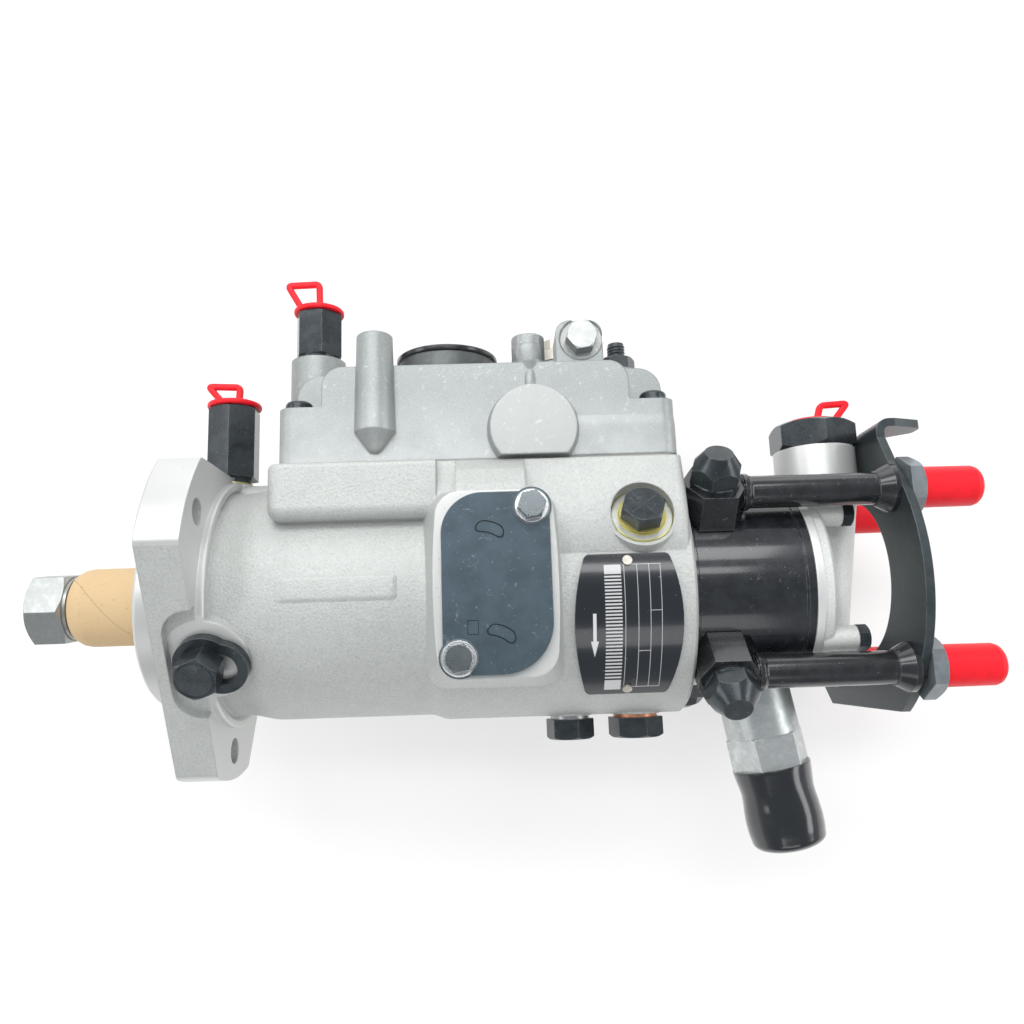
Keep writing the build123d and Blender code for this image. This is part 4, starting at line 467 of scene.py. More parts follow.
@dataclass(frozen=True)
class CoverMetal(CastMetal):
    """The control cover's casting with its machined side disc, boss tops and lug face."""

    disc_y: float = -39.3
    disc_x: tuple[float, float] = (105.0, 142.0)
    lug_y: tuple[float, float] = (-30.5, -30.0)
    lug_z: float = 78.0
    boss_tops: tuple[tuple[float, float], ...] = ((91.4, 91.6), (87.9, 88.3), (89.6, 89.9))
    foot_z: float = 55.0
    foot_fade: float = 26.0

    def machined_mask(self, kit: Kit) -> Value:
        """Side disc, boss tops and the lug's seat.

        Args:
            kit: The material's nodes.

        Returns:
            A mask from 0 to 1.
        """
        x, y, z = kit.axes()
        disc = y.below(self.disc_y) * x.between(*self.disc_x)
        lug = y.between(*self.lug_y) * z.above(self.lug_z)
        first, second, third = (z.between(*top) for top in self.boss_tops)
        tops = first + second + third
        return (disc + lug + tops * kit.facing_up()).least(1.0)

    def brighter_foot(self, kit: Kit) -> Value:
        """Brighter towards the foot, in patches set by noise."""
        _, _, z = kit.axes()
        return z.below(self.foot_z, self.foot_fade) * kit.noise(14.0, 3.0, 0.6).above(0.35, 0.4) * 0.5


@dataclass(frozen=True)
class EndPlateMetal(CastMetal):
    """The end plate's casting with its turned band, bolt seats and inlet boss."""

    band_x: float = 218.7
    seats_x: tuple[float, float] = (231.1, 231.3)
    boss_z: float = 36.5

    def machined_mask(self, kit: Kit) -> Value:
        """Turned band at the head, bolt boss faces and the turned part of the inlet boss."""
        x, _, z = kit.axes()
        return (x.below(self.band_x) + x.between(*self.seats_x) + z.above(self.boss_z)).least(1.0)


@dataclass(frozen=True)
class PlatedSteel(Finish):
    """Plated or bare metal with fine scratches and faint mottling."""

    colour: Colour = (0.66, 0.66, 0.62)
    mottle: Colour = (0.56, 0.56, 0.53)
    roughness: float = 0.28
    metallic: float = 0.92

    def tint(self, kit: Kit, colour: Any) -> Any:
        """Last change to the colour; none for a plain plating."""
        return colour

    def build(self) -> bpy.types.Material:
        """Makes the material.

        Returns:
            The material.
        """
        kit = Kit(self.name)
        cloud = kit.noise(3.2, 3.0, 0.65)
        fine = kit.noise(0.4, 2.0, 0.6)
        hair = kit.hairs(2.4, 0.09, 0.2)
        soft = kit.rounded(self.edge_mm)
        colour = kit.mix(cloud.between(0.42, 0.70, 0.25), self.colour, self.mottle)
        colour = self.tint(kit, kit.mix(hair * 0.4, colour, shaded(self.colour, 1.25)))
        roughness = self.roughness + cloud * 0.16 + fine * 0.06
        normal = kit.bump(fine + cloud * 0.6, 0.02, soft)
        return kit.finish(Base_Color=colour, Roughness=roughness, Metallic=self.metallic, Normal=normal)


@dataclass(frozen=True)
class WasherPlating(PlatedSteel):
    """Yellow plating on the washers, and plain grey on the one at the bottom."""

    grey: Colour = (0.42, 0.43, 0.43)
    grey_below: float = -35.0

    def tint(self, kit: Kit, colour: Any) -> Any:
        """Grey below the housing."""
        _, _, z = kit.axes()
        return kit.mix(z.below(self.grey_below), colour, self.grey)


@dataclass(frozen=True)
class SeatWasherPlating(PlatedSteel):
    """Bright plating whose outer and inner edges have turned yellow."""

    yellow: Colour = (0.60, 0.57, 0.20)
    inner_r: float = 8.3
    outer_r: float = 9.75

    def tint(self, kit: Kit, colour: Any) -> Any:
        """Yellow near the washer's two rims.

        Args:
            kit: The material's nodes.
            colour: The colour before the change.

        Returns:
            The changed colour.
        """
        u, v, _ = LOCATING_SEAT.offsets(kit)
        across = distance(u, v)
        rims = (across.above(self.outer_r, 0.3) + across.below(self.inner_r, 0.5)).least(1.0)
        return kit.mix(rims * 0.85, colour, self.yellow)


@dataclass(frozen=True)
class FlangedBolt(PlatedSteel):
    """Zinc bolt whose thin flange is bright and whose hexagon is dark."""

    dark: Colour = (0.19, 0.215, 0.225)
    flange_y: float = -56.3

    def tint(self, kit: Kit, colour: Any) -> Any:
        """Dark beyond the flange's height."""
        _, y, _ = kit.axes()
        return kit.mix(y.below(self.flange_y, 0.1), colour, self.dark)


@dataclass(frozen=True)
class BlackSteel(Finish):
    """Black-finished steel: satin, with slight grain, rubbed spots, and paler edges that are partly edge wear and
    partly painted highlight.
    """

    # Paler colour for scratches and for edges; on the edges it is partly wear and partly painted highlight.
    wear_and_glint_colour: ClassVar[Colour] = (0.20, 0.22, 0.235)
    cut: ClassVar[Colour] = (0.14, 0.16, 0.17)
    colour: Colour = (0.026, 0.033, 0.038)
    paler_tone: Colour = (0.052, 0.063, 0.070)
    roughness: float = 0.20
    grain_mm: float = 0.5
    depth_mm: float = 0.02
    metallic: float = 0.55
    coat: float = 0.3

    def relief(self, kit: Kit) -> Value | None:
        """Extra height on a named face; none for a plain piece."""
        return None

    def build(self) -> bpy.types.Material:
        """Makes the material.

        Returns:
            The material.
        """
        kit = Kit(self.name)
        cloud = kit.noise(5.0, 4.0, 0.6)
        grain = kit.noise(self.grain_mm, 3.0, 0.6)
        hair = (kit.hairs(2.2, 0.10, 0.15) + kit.specks(1.7, 0.25)).least(1.0)
        soft = kit.rounded(self.edge_mm)
        # Edge mask: partly edge wear, partly painted highlight on the edges.
        edge_wear_and_glint = kit.wear_and_glint_edge(soft) * kit.noise(1.8, 3.0, 0.7).above(0.42, 0.2)
        colour = kit.mix(cloud.between(0.5, 0.8, 0.2) * 0.6, self.colour, self.paler_tone)
        colour = kit.mix((edge_wear_and_glint * 0.55 + hair * 0.5).least(1.0), colour, self.wear_and_glint_colour)
        roughness = self.roughness + cloud * 0.14 + grain * 0.06
        height = grain
        relief = self.relief(kit)
        if relief is not None:
            colour = kit.mix(relief * 0.3, colour, self.cut)
            height = grain + relief * 5.0
        kit.constant(Specular_IOR_Level=0.5, Coat_Weight=self.coat, Coat_Roughness=0.10)
        normal = kit.bump(height, self.depth_mm, soft)
        return kit.finish(Base_Color=colour, Roughness=roughness, Metallic=self.metallic, Normal=normal)


@dataclass(frozen=True)
class RingedBolt(BlackSteel):
    """Bolt whose face keeps the rings left by the turning tool."""

    pitch_mm: float = 0.70
    face_r: float = 5.6
    face_out: float = 53.6

    def relief(self, kit: Kit) -> Value:
        """Rings on the face: a wave of the distance from the bolt's axis."""
        u, v, out = LOCK_SEAT.offsets(kit)
        radius = distance(u, v)
        return radius.wave(self.pitch_mm).above(0.25, 0.8) * radius.below(self.face_r) * out.above(self.face_out)


@dataclass(frozen=True)
class RayedBolt(BlackSteel):
    """Bolt whose face carries eight fine radial lines."""

    rays: int = 8
    line_mm: float = 0.28
    ray_ends: tuple[float, float] = (1.5, 5.2)
    face_out: float = 53.2

    def relief(self, kit: Kit) -> Value:
        """Rays: where the radius times |sin(n a / 2 + 0.5)| / (n / 2) is under half a line's width.

        Args:
            kit: The material's nodes.

        Returns:
            A mask from 0 to 1, with n the number of rays and a the angle round the bolt's axis.
        """
        u, v, out = LOCATING_SEAT.offsets(kit)
        radius = distance(u, v)
        turn = kit.math("ARCTAN2", v, u) * (self.rays / 2) + 0.5
        off = abs(turn.apply("SINE")) * radius * (2 / self.rays)
        return off.below(self.line_mm / 2, 0.1) * radius.between(*self.ray_ends, 0.2) * out.above(self.face_out)


@dataclass(frozen=True)
class Moulded(Finish):
    """Soft moulded plastic or vinyl."""

    colour: Colour = (0.55, 0.012, 0.014)
    roughness: float = 0.30
    coat: float = 0.35
    shine: float = 0.5

    def build(self) -> bpy.types.Material:
        """Makes the material.

        Returns:
            The material.
        """
        kit = Kit(self.name)
        cloud = kit.noise(6.0, 2.0, 0.5)
        skin = kit.noise(1.6, 2.0, 0.5)
        colour = kit.mottled(cloud.between(0.35, 0.75, 0.3), self.colour, 0.84, 1.0)
        normal = kit.bump(skin, 0.03, kit.rounded(self.edge_mm))
        kit.constant(Coat_Weight=self.coat, Coat_Roughness=0.12, Specular_IOR_Level=self.shine)
        return kit.finish(Base_Color=colour, Roughness=self.roughness + cloud * 0.08, Normal=normal)


@dataclass(frozen=True)
class WoundBoard(Finish):
    """Spiral-wound cardboard tube along the shaft."""

    colour: Colour = (0.55, 0.40, 0.225)
    seam_pitch_mm: float = 80.0
    seam_start: float = 8.4
    seam_mm: float = 0.20

    def build(self) -> bpy.types.Material:
        """Makes the material: the seam is a helix, where the turn angle plus the distance along X repeats.

        Returns:
            The material.
        """
        kit = Kit(self.name)
        x, y, z = kit.axes()
        angle = kit.math("ARCTAN2", z, y) * (self.seam_pitch_mm / (2 * math.pi))
        turn = kit.math("PINGPONG", x - angle - self.seam_start, self.seam_pitch_mm / 2)
        seam = turn.below(self.seam_mm, 0.15)
        fibre = kit.noise(0.5, 4.0, 0.7, (1.0, 0.3, 1.0))
        flecks = kit.noise(1.1, 2.0, 0.6, (0.4, 1.0, 1.0)).above(0.68, 0.06)
        cloud = kit.noise(6.0, 3.0, 0.6)
        base = kit.mottled(fibre.between(0.3, 0.8, 0.4), self.colour, 0.86, 1.08)
        base = kit.mix(flecks * 0.35, base, shaded(self.colour, 0.55))
        colour = kit.mix(seam * 0.45, base, shaded(self.colour, 0.45))
        height = fibre * 0.3 + cloud * 0.5 + (1 - seam) * 0.4
        return kit.finish(Base_Color=colour, Roughness=0.70 + fibre * 0.14, Normal=kit.bump(height, 0.10))


@dataclass(frozen=True)
class PrintedPlate(Finish):
    """Gloss black plate with blank ruled boxes, a blank block and a plain turning arrow."""

    ink: Colour = (0.58, 0.59, 0.60)
    ground: Colour = (0.012, 0.015, 0.020)
    x_lines: tuple[float, ...] = (150.2, 154.4, 158.3, 161.9)
    z_ends: tuple[float, float] = (-33.7, 5.2)
    cross_lines: tuple[tuple[float, int], ...] = ((-9.6, 2), (-22.2, 1))
    block_x: tuple[float, float] = (143.8, 149.2)
    block_drop: float = 0.8
    solid_ends: tuple[float, float] = (2.9, 2.2)
    line_mm: float = 0.20
    line_end: float = 0.12
    stripe_mm: float = 1.1
    arrow_x: float = 140.3
    stem_half: float = 0.55
    stem_z: tuple[float, float] = (-19.0, -10.2)
    head_z: tuple[float, float] = (-23.8, -18.9)
    head_slope: float = 0.26

    def build(self) -> bpy.types.Material:
        """Makes the material: each ruled line is a narrow band of X or Z.

        Returns:
            The material.
        """
        kit = Kit(self.name)
        x, _, z = kit.axes()
        rules = self.ruled_box(x, z, self.x_lines)
        for height, column in self.cross_lines:
            rules = rules + z.near(height, self.line_mm) * x.between(self.x_lines[column], self.x_lines[column + 1])
        rules = rules * 0.7 + self.stripes(x, z)
        print_mask = (rules + self.arrow(x, z)).least(1.0)
        cloud = kit.noise(9.0, 2.0, 0.5)
        hair = kit.hairs(2.6, 0.09, 0.15)
        colour = kit.mix((print_mask + hair * 0.2).least(1.0), self.ground, self.ink)
        normal = kit.bump(kit.noise(14.0, 2.0, 0.4), 0.06, kit.rounded(self.edge_mm))
        kit.constant(Coat_Weight=0.5, Coat_Roughness=0.08)
        return kit.finish(Base_Color=colour, Roughness=0.16 + print_mask * 0.2 + cloud * 0.06, Normal=normal)

    def stripes(self, x: Value, z: Value) -> Value:
        """Plain block of even cross stripes, with a solid end at its top and bottom.

        Args:
            x: Place along the shaft.
            z: Height.

        Returns:
            A mask from 0 to 1.
        """
        low, high = self.z_ends
        even = z.wave(self.stripe_mm).above(0.0, 0.5)
        solid = z.above(high - self.solid_ends[0]) + z.below(low + self.solid_ends[1])
        return (even + solid).least(1.0) * x.between(*self.block_x) * z.between(low - self.block_drop, high) * 0.85

    def ruled_box(self, x: Value, z: Value, lines: Sequence[float]) -> Value:
        """Upright lines at the given X and the two lines that close their ends.

        Args:
            x: Place along the shaft.
            z: Height.
            lines: X of each upright line.

        Returns:
            A mask from 0 to 1.
        """
        low, high = self.z_ends
        inside = x.between(lines[0] - self.line_end, lines[-1] + self.line_end)
        rules = (z.near(low, self.line_mm) + z.near(high, self.line_mm)) * inside
        for line in lines:
            rules = rules + x.near(line, self.line_mm) * z.between(low, high)
        return rules

    def arrow(self, x: Value, z: Value) -> Value:
        """Straight arrow that points down: a stem and a head whose half width falls with Z.

        Args:
            x: Place along the shaft.
            z: Height.

        Returns:
            A mask from 0 to 1.
        """
        off = abs(x - self.arrow_x)
        stem = off.below(self.stem_half, 0.1) * z.between(*self.stem_z)
        head = (off - (z - self.head_z[0]) * self.head_slope).below(0.0, 0.1) * z.between(*self.head_z)
        return (stem + head).least(1.0)


@dataclass(frozen=True)
class PressedCover(Finish):
    """Black pressed plate with shallow stamped outlines and fine scratches."""

    colour: Colour = (0.048, 0.070, 0.087)
    scratched: Colour = (0.34, 0.37, 0.39)
    bars: tuple[tuple[tuple[float, float], float], ...] = (((108.0, 16.9), -0.30), ((110.9, -15.4), -0.42))
    bar_bend: float = 0.05
    bar_half: float = 2.7
    bar_line: tuple[float, float] = (1.62, 1.92)
    box: tuple[float, float] = (101.9, -13.8)
    box_line: tuple[float, float] = (2.0, 2.25)
    box_upright: float = 1.3

    def build(self) -> bpy.types.Material:
        """Makes the material: each stamped outline is a band at a fixed distance from a middle line.

        Returns:
            The material.
        """
        kit = Kit(self.name)
        x, _, z = kit.axes()
        upper, lower = (self.bent_bar(x, z, *bar) for bar in self.bars)
        marks = upper + lower + self.small_box(x, z, self.box)
        cloud = kit.noise(8.0, 4.0, 0.6)
        grain = kit.noise(0.7, 3.0, 0.6)
        hair = kit.hairs(2.4, 0.07, 0.35) + kit.hairs(3.1, 0.07, 0.3, -0.8) + kit.hairs(4.0, 0.08, 0.3, 1.5)
        hair = hair + kit.specks(1.5, 0.6)
        soft = kit.rounded(self.edge_mm)
        colour = kit.mottled(cloud.between(0.42, 0.8, 0.3), self.colour, 1.0, 1.35)
        # Paler colour on scratches and on edges; the edges are partly wear and partly painted highlight.
        colour = kit.mix((hair * 0.32 + kit.wear_and_glint_edge(soft) * 0.4).least(1.0), colour, self.scratched)
        # Painted shade: the sunk stamped outlines are darkened as shade in their grooves.
        colour = kit.mix(marks.least(1.0) * 0.75, colour, shaded(self.colour, 0.18))
        normal = kit.bump(grain * 0.05 - marks, 0.40, soft)
        kit.constant(Specular_IOR_Level=0.5)
        return kit.finish(Base_Color=colour, Roughness=0.32 + cloud * 0.12 + grain * 0.06, Metallic=0.5, Normal=normal)

    def bent_bar(self, x: Value, z: Value, centre: tuple[float, float], lean: float) -> Value:
        """Outline of a short bent bar, whose middle line is the curve v = -bend * u squared.

        Args:
            x: Place along the shaft.
            z: Height.
            centre: X and Z of the bar's middle.
            lean: The bar's turn in radians.

        Returns:
            A mask from 0 to 1.
        """
        u = (x - centre[0]) * math.cos(lean) + (z - centre[1]) * math.sin(lean)
        v = (z - centre[1]) * math.cos(lean) - (x - centre[0]) * math.sin(lean)
        from_line = distance(abs(v + u * u * self.bar_bend), (abs(u) - self.bar_half).most(0.0))
        return from_line.between(*self.bar_line, 0.2)

    def small_box(self, x: Value, z: Value, centre: tuple[float, float]) -> Value:
        """Outline of a small upright box: a band of the larger of the two offsets."""
        reach = (abs(x - centre[0]) * self.box_upright).most(abs(z - centre[1]))
        return reach.between(*self.box_line, 0.15) * 0.6


class Finishes(Enum):
    """Every finish on the pump, with the pieces that carry it."""

    HOUSING = HousingMetal(
        "cast_housing", ("pump_housing",), 0.8, grain_mm=0.68, depth_mm=0.21, machined=(0.60, 0.61, 0.60))
    COVER = CoverMetal(
        "cast_cover", ("control_cover",), 0.9, (0.38, 0.405, 0.402), (0.39, 0.405, 0.40), 0.5, 0.06, 0.75, 0.40, 0.5)
    END_PLATE = EndPlateMetal(
        "cast_end_plate", ("end_plate",), 0.7, (0.74, 0.76, 0.745), (0.72, 0.73, 0.72), 0.6, 0.06, 0.35)
    ZINC = PlatedSteel(
        "bright_zinc", ("drive_nut", "lug_bolt", "lock_washer"), 0.35, (0.48, 0.495, 0.49), (0.40, 0.415, 0.41), 0.26)
    SOLENOID = PlatedSteel("solenoid_zinc", ("solenoid_body",), 0.4, (0.68, 0.71, 0.71), (0.54, 0.565, 0.56), 0.28)
    PLUG_METAL = PlatedSteel("plug_metal", ("cover_plug",), 0.4, (0.155, 0.168, 0.168), (0.13, 0.14, 0.14), 0.36)
    CREAM_ZINC = PlatedSteel(
        "cream_zinc", ("throttle_lever", "plate_rivets"), 0.3, (0.62, 0.60, 0.54), (0.52, 0.50, 0.45), 0.36)
    WASHER = WasherPlating("washer_plating", ("plated_washers",), 0.1, (0.66, 0.60, 0.22), (0.52, 0.46, 0.18), 0.26)
    SEAT_WASHER = SeatWasherPlating("seat_washer_plating", (), 0.15, (0.70, 0.71, 0.69), (0.60, 0.61, 0.59), 0.24)
    FLANGED = FlangedBolt("flanged_bolt", ("inspection_bolts",), 0.3, (0.80, 0.81, 0.82), (0.62, 0.64, 0.65), 0.18)
    COPPER = PlatedSteel("copper", ("copper_washer",), 0.1, (0.80, 0.38, 0.24), (0.62, 0.26, 0.16), 0.34)
    BRONZE = PlatedSteel("bronze", ("shaft_bush",), 0.2, (0.55, 0.40, 0.20), (0.45, 0.31, 0.15), 0.35)
    STEEL = PlatedSteel(
        "ground_steel", ("governor_bracket", "transfer_liner", "drive_shaft", "weight_cage", "distributor_rotor",
        "transfer_rotor", "transfer_vanes", "flyweight_1", "flyweight_2", "flyweight_3", "flyweight_4", "thrust_sleeve",
        "governor_arm", "control_link", "metering_valve", "throttle_shaft", "cam_ring", "advance_piston", "plunger_1",
        "plunger_2", "solenoid_pin", "governor_spring"), 0.25, (0.52, 0.52, 0.53), (0.44, 0.44, 0.45), 0.26)
    BLACK_BOLT = BlackSteel(
        "black_bolt",
        ("cover_screws", "lock_spacer", "banjo_bolts", "end_plate_bolts", "housing_plugs", "stop_screw"), 0.4)
    RINGED_BOLT = RingedBolt("ringed_bolt", ("lock_bolt",), 0.4)
    RAYED_BOLT = RayedBolt("rayed_bolt", ("locating_bolt",), 0.4)
    GREY_NUT = BlackSteel("grey_nut", ("outlet_nuts",), 0.4, (0.17, 0.195, 0.21), (0.25, 0.28, 0.30), 0.30)
    UNION = BlackSteel(
        "black_union", ("return_union", "timing_union", "inlet_adapter"),
        0.4, (0.026, 0.033, 0.038), (0.048, 0.058, 0.064), 0.18, coat=0.4)
    BLACK_HEAD = BlackSteel(
        "black_head", ("hydraulic_head",),
        0.4, (0.010, 0.012, 0.015), (0.022, 0.025, 0.031), 0.18, 0.35, 0.006, 0.3, 0.8)
    BLACK_PIPE = BlackSteel(
        "black_pipe", ("outlet_pipes", "cover_plug_ring"),
        0.4, (0.014, 0.015, 0.017), (0.026, 0.028, 0.032), 0.16, 0.7, 0.012, 0.3, 0.6)
    BLACK_BRACKET = BlackSteel(
        "black_bracket", ("outlet_bracket",), 0.5, (0.036, 0.048, 0.052), (0.056, 0.068, 0.074), 0.32, 0.6, 0.025, 0.5)
    RED = Moulded("red_plug", ("union_plugs", "outlet_caps"), 0.35, (0.80, 0.008, 0.020), 0.38, 0.05, 0.25)
    VINYL = Moulded("black_vinyl", ("solenoid_cap",), 0.8, (0.010, 0.012, 0.015), 0.16, 0.8)
    RUBBER = Moulded("seal_rubber", ("shaft_seals",), 0.3, (0.02, 0.02, 0.02), 0.55, 0.0)
    PAPER = Moulded("gasket_paper", ("cover_gasket",), 0.1, (0.34, 0.34, 0.32), 0.85, 0.0)
    BOARD = WoundBoard("wound_board", ("transport_sleeve",), 0.1)
    PLATE = PrintedPlate("printed_plate", ("name_plate",), 0.15)
    PRESSED = PressedCover("pressed_cover", ("inspection_cover",), 0.45)


# ---------------------------------------------------------------- surfaces
@dataclass
class Shell:
    """A closed skin: a grid of points whose rows are stations along a path and whose columns go round a loop."""

    grid: np.ndarray
    capped: bool = False

    def faces(self, start: int) -> list[list[int]]:
        """Quads between neighbouring loops; a capped shell has flat ends, and any other shell's path is closed.

        Args:
            start: The number of the shell's first point.

        Returns:
            The point numbers of each face.
        """
        rows, columns = self.grid.shape[:2]
        index = start + np.arange(rows * columns).reshape(rows, columns)
        here = index[:-1] if self.capped else index
        ahead = index[1:] if self.capped else np.roll(index, -1, axis=0)
        quads = np.stack([here, np.roll(here, -1, axis=1), np.roll(ahead, -1, axis=1), ahead], axis=-1)
        ends = [index[0][::-1].tolist(), index[-1].tolist()] if self.capped else []
        return quads.reshape(-1, 4).tolist() + ends


def closed_surface(name: str, shells: Sequence[Shell]) -> bpy.types.Object:
    """Makes one piece from closed shells, with every face outwards.

    Args:
        name: The piece's name.
        shells: The shells, in millimetres.

    Returns:
        The new object, at the origin.
    """
    faces: list[list[int]] = []
    start = 0
    for shell in shells:
        faces += shell.faces(start)
        start += shell.grid.shape[0] * shell.grid.shape[1]
    points = np.concatenate([shell.grid.reshape(-1, 3) for shell in shells]) * MM
    mesh = bpy.data.meshes.new(name)
    mesh.from_pydata(points.tolist(), [], faces)
    work = bmesh.new()
    work.from_mesh(mesh)
    bmesh.ops.recalc_face_normals(work, faces=work.faces)
    work.to_mesh(mesh)
    work.free()
    mesh.shade_smooth()
    mesh.set_sharp_from_angle(angle=math.radians(38.0))
    return placed(name, mesh)


def swept_ring(centre: Point, axis: Point, loop: np.ndarray, turns: int = 64) -> Shell:
    """Turns a closed (distance along, radius) loop round an axis.

    A point is centre + along * axis + radius * (cos a * e1 + sin a * e2).

    Args:
        centre: A point on the axis, in millimetres.
        axis: The axis direction.
        loop: Loop points x 2.
        turns: Stations round the axis.

    Returns:
        The ring's shell.
    """
    out = np.array(axis, float) / np.linalg.norm(axis)
    side = np.array([0.0, 1.0, 0.0]) if abs(out[1]) < 0.9 else np.array([1.0, 0.0, 0.0])
    e1 = np.cross(out, side)
    e1 /= np.linalg.norm(e1)
    e2 = np.cross(out, e1)
    a = np.linspace(0, 2 * np.pi, turns, endpoint=False)[:, None, None]
    along, radius = loop[None, :, 0, None], loop[None, :, 1, None]
    return Shell(np.array(centre) + along * out + radius * (np.cos(a) * e1 + np.sin(a) * e2))


def turned_shell(centre: Point, axis: Point, profile: np.ndarray, sway: np.ndarray | float = 0.0,
                 turns: int = 64) -> Shell:
    """Turns an open (distance along, radius) profile round an axis and closes its two ends.

    A point is centre + along * axis + radius * (1 + sway) * (cos a * e1 + sin a * e2).

    Args:
        centre: A point on the axis, in millimetres.
        axis: The axis direction.
        profile: Profile points x 2.
        sway: Change of radius as a share, profile points x turns or one number.
        turns: Points round the axis.

    Returns:
        The body's shell.
    """
    ring = swept_ring(centre, axis, profile, turns).grid.transpose(1, 0, 2)
    out = np.array(axis, float) / np.linalg.norm(axis)
    spine = np.array(centre) + profile[:, None, 0, None] * out
    swayed = np.broadcast_to(np.asarray(sway), ring.shape[:2])[..., None]
    return Shell(spine + (ring - spine) * (1 + swayed), capped=True)


def smooth_step(t: np.ndarray) -> np.ndarray:
    """Soft step: 3 t squared minus 2 t cubed, held between 0 and 1."""
    t = np.clip(t, 0.0, 1.0)
    return t * t * (3 - 2 * t)


def rounded_path(corners: np.ndarray, radius: float, steps: int = 10) -> np.ndarray:
    """Closed flat path round some corners, each replaced by an arc-like curve.

    Each corner c becomes the quadratic curve (1-t)^2 p + 2t(1-t) c + t^2 q, where p and q lie on its two sides, a
    radius away from it.

    Args:
        corners: Corners x 2.
        radius: Distance from a corner to the ends of its curve.
        steps: Points on each curve.

    Returns:
        Path points x 2.
    """
    to_last = np.roll(corners, 1, axis=0) - corners
    to_next = np.roll(corners, -1, axis=0) - corners
    p = corners + radius * to_last / np.linalg.norm(to_last, axis=1, keepdims=True)
    q = corners + radius * to_next / np.linalg.norm(to_next, axis=1, keepdims=True)
    t = np.linspace(0, 1, steps)[None, :, None]
    curves = (1 - t) ** 2 * p[:, None] + 2 * t * (1 - t) * corners[:, None] + t ** 2 * q[:, None]
    return curves.reshape(-1, 2)


# ---------------------------------------------------------------- small pieces
@dataclass
class Detail:
    """Base of the small pieces: a name, the finish they carry and the body they ride on."""

    name: str
    finish: Finishes
    slot: str
    stands_for: str = ""
    body: str = "housing"

    def shells(self) -> list[Shell]:
        """The closed shells that make the piece, in millimetres."""
        raise NotImplementedError

    def build(self, materials: Mapping[Finishes, bpy.types.Material]) -> None:
        """Makes the piece, gives it its finish and lets it ride.

        Args:
            materials: The built material of each finish.
        """
        piece = closed_surface(self.name, self.shells())
        piece.data.materials.append(materials[self.finish])
        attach(piece, self.body)
        if self.stands_for:
            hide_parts(self.stands_for)
        LOG.info("%s: %d faces", self.name, len(piece.data.polygons))


@dataclass
class BarrelStrip(Detail):
    """Low raised strip cast along the front barrel's near side."""

    x_ends: tuple[float, float] = (36.5, 77.8)
    middle_z: float = 0.7
    half_height: float = 4.9
    barrel_r: float = 42.2
    proud: float = 0.8
    sunk: float = 0.15
    inside: float = 1.0
    soft: float = 1.9

    def shells(self) -> list[Shell]:
        """One shell.

        The outer skin lies at radius R - sunk + proud * s(x) * s(t), where s is the soft step from each edge, x the
        place along the barrel and t the arc length across it. The inner skin lies inside the casting.

        Returns:
            The closed shells, in millimetres.
        """
        x = np.linspace(*self.x_ends, 56)[:, None]
        t = np.linspace(-self.half_height, self.half_height, 28)[None, :]
        rise = smooth_step((x - self.x_ends[0]) / (self.soft * 3)) * smooth_step((self.x_ends[1] - x) / self.soft)
        rise = rise * smooth_step((self.half_height - np.abs(t)) / self.soft)
        angle = np.pi - (self.middle_z + t) / self.barrel_r + 0 * x
        outer = self.barrel_r - self.sunk + self.proud * rise
        inner = np.full_like(outer, self.barrel_r - self.inside)
        radius = np.concatenate([outer, inner[:, ::-1]], axis=1)
        angle = np.concatenate([angle, angle[:, ::-1]], axis=1)
        return [Shell(np.stack([x + 0 * radius, radius * np.cos(angle), radius * np.sin(angle)], axis=-1), True)]


@dataclass
class CoverSkirt(Detail):
    """Slightly thicker foot of the control cover at its rear end, with a soft upper edge."""

    x_ends: tuple[float, float] = (128.0, 172.6)
    half_width: float = 35.0
    corner: float = 5.0
    low: float = 43.9
    high: float = 60.0
    proud: float = 0.28
    sunk: float = 0.12
    inside: float = 0.8
    fade: float = 6.0

    def shells(self) -> list[Shell]:
        """One shell: the cover's outline moved outwards by an offset that fades to nothing at the upper edge.

        A point of the outline is a corner centre plus (corner + offset) * (cos a, sin a).

        Returns:
            The closed shells, in millimetres.
        """
        quarter = np.linspace(0, np.pi / 2, 9)
        a = np.concatenate([quarter + i * np.pi / 2 for i in range(4)])
        signs = np.repeat(np.array([(1, 1), (-1, 1), (-1, -1), (1, -1)]), len(quarter), axis=0)
        middle = sum(self.x_ends) / 2
        half_length = (self.x_ends[1] - self.x_ends[0]) / 2
        cx = middle + signs[:, 0] * (half_length - self.corner)
        cy = signs[:, 1] * (self.half_width - self.corner)
        z = np.concatenate([[self.low, self.low], np.linspace(self.low + 0.3, self.high, 22), [self.high]])
        offset = -self.sunk + (self.proud + self.sunk) * smooth_step((self.high - z) / self.fade)
        offset[0], offset[-1] = -self.inside, -self.inside
        r = self.corner + offset[None, :]
        x = cx[:, None] + r * np.cos(a)[:, None]
        y = cy[:, None] + r * np.sin(a)[:, None]
        return [Shell(np.stack([x, y, z[None, :] + 0 * x], axis=-1))]


@dataclass
class BossFlare(Detail):
    """Rib under the short round boss at the cover's near edge, which narrows down to the side disc."""

    x: float = 123.0
    z_ends: tuple[float, float] = (67.2, 86.0)
    straight: float = 3.5
    foot: Point = (2.2, 1.9, -34.0)
    growth: Point = (3.75, 4.05, 8.5)

    def shells(self) -> list[Shell]:
        """One shell: ellipses stacked along Z.

        Half width, depth and middle y are each foot + growth * s, where s is the soft step of the height from the end
        of the straight part to the top.

        Returns:
            The closed shells, in millimetres.
        """
        z = np.linspace(*self.z_ends, 30)[:, None]
        a = np.linspace(0, 2 * np.pi, 40, endpoint=False)[None, :]
        low = self.z_ends[0] + self.straight
        s = smooth_step((z - low) / (self.z_ends[1] - low))
        width, depth, middle = (start + more * s for start, more in zip(self.foot, self.growth))
        x = self.x + width * np.cos(a)
        return [Shell(np.stack([x, middle + depth * np.sin(a), z + 0 * a], axis=-1), True)]


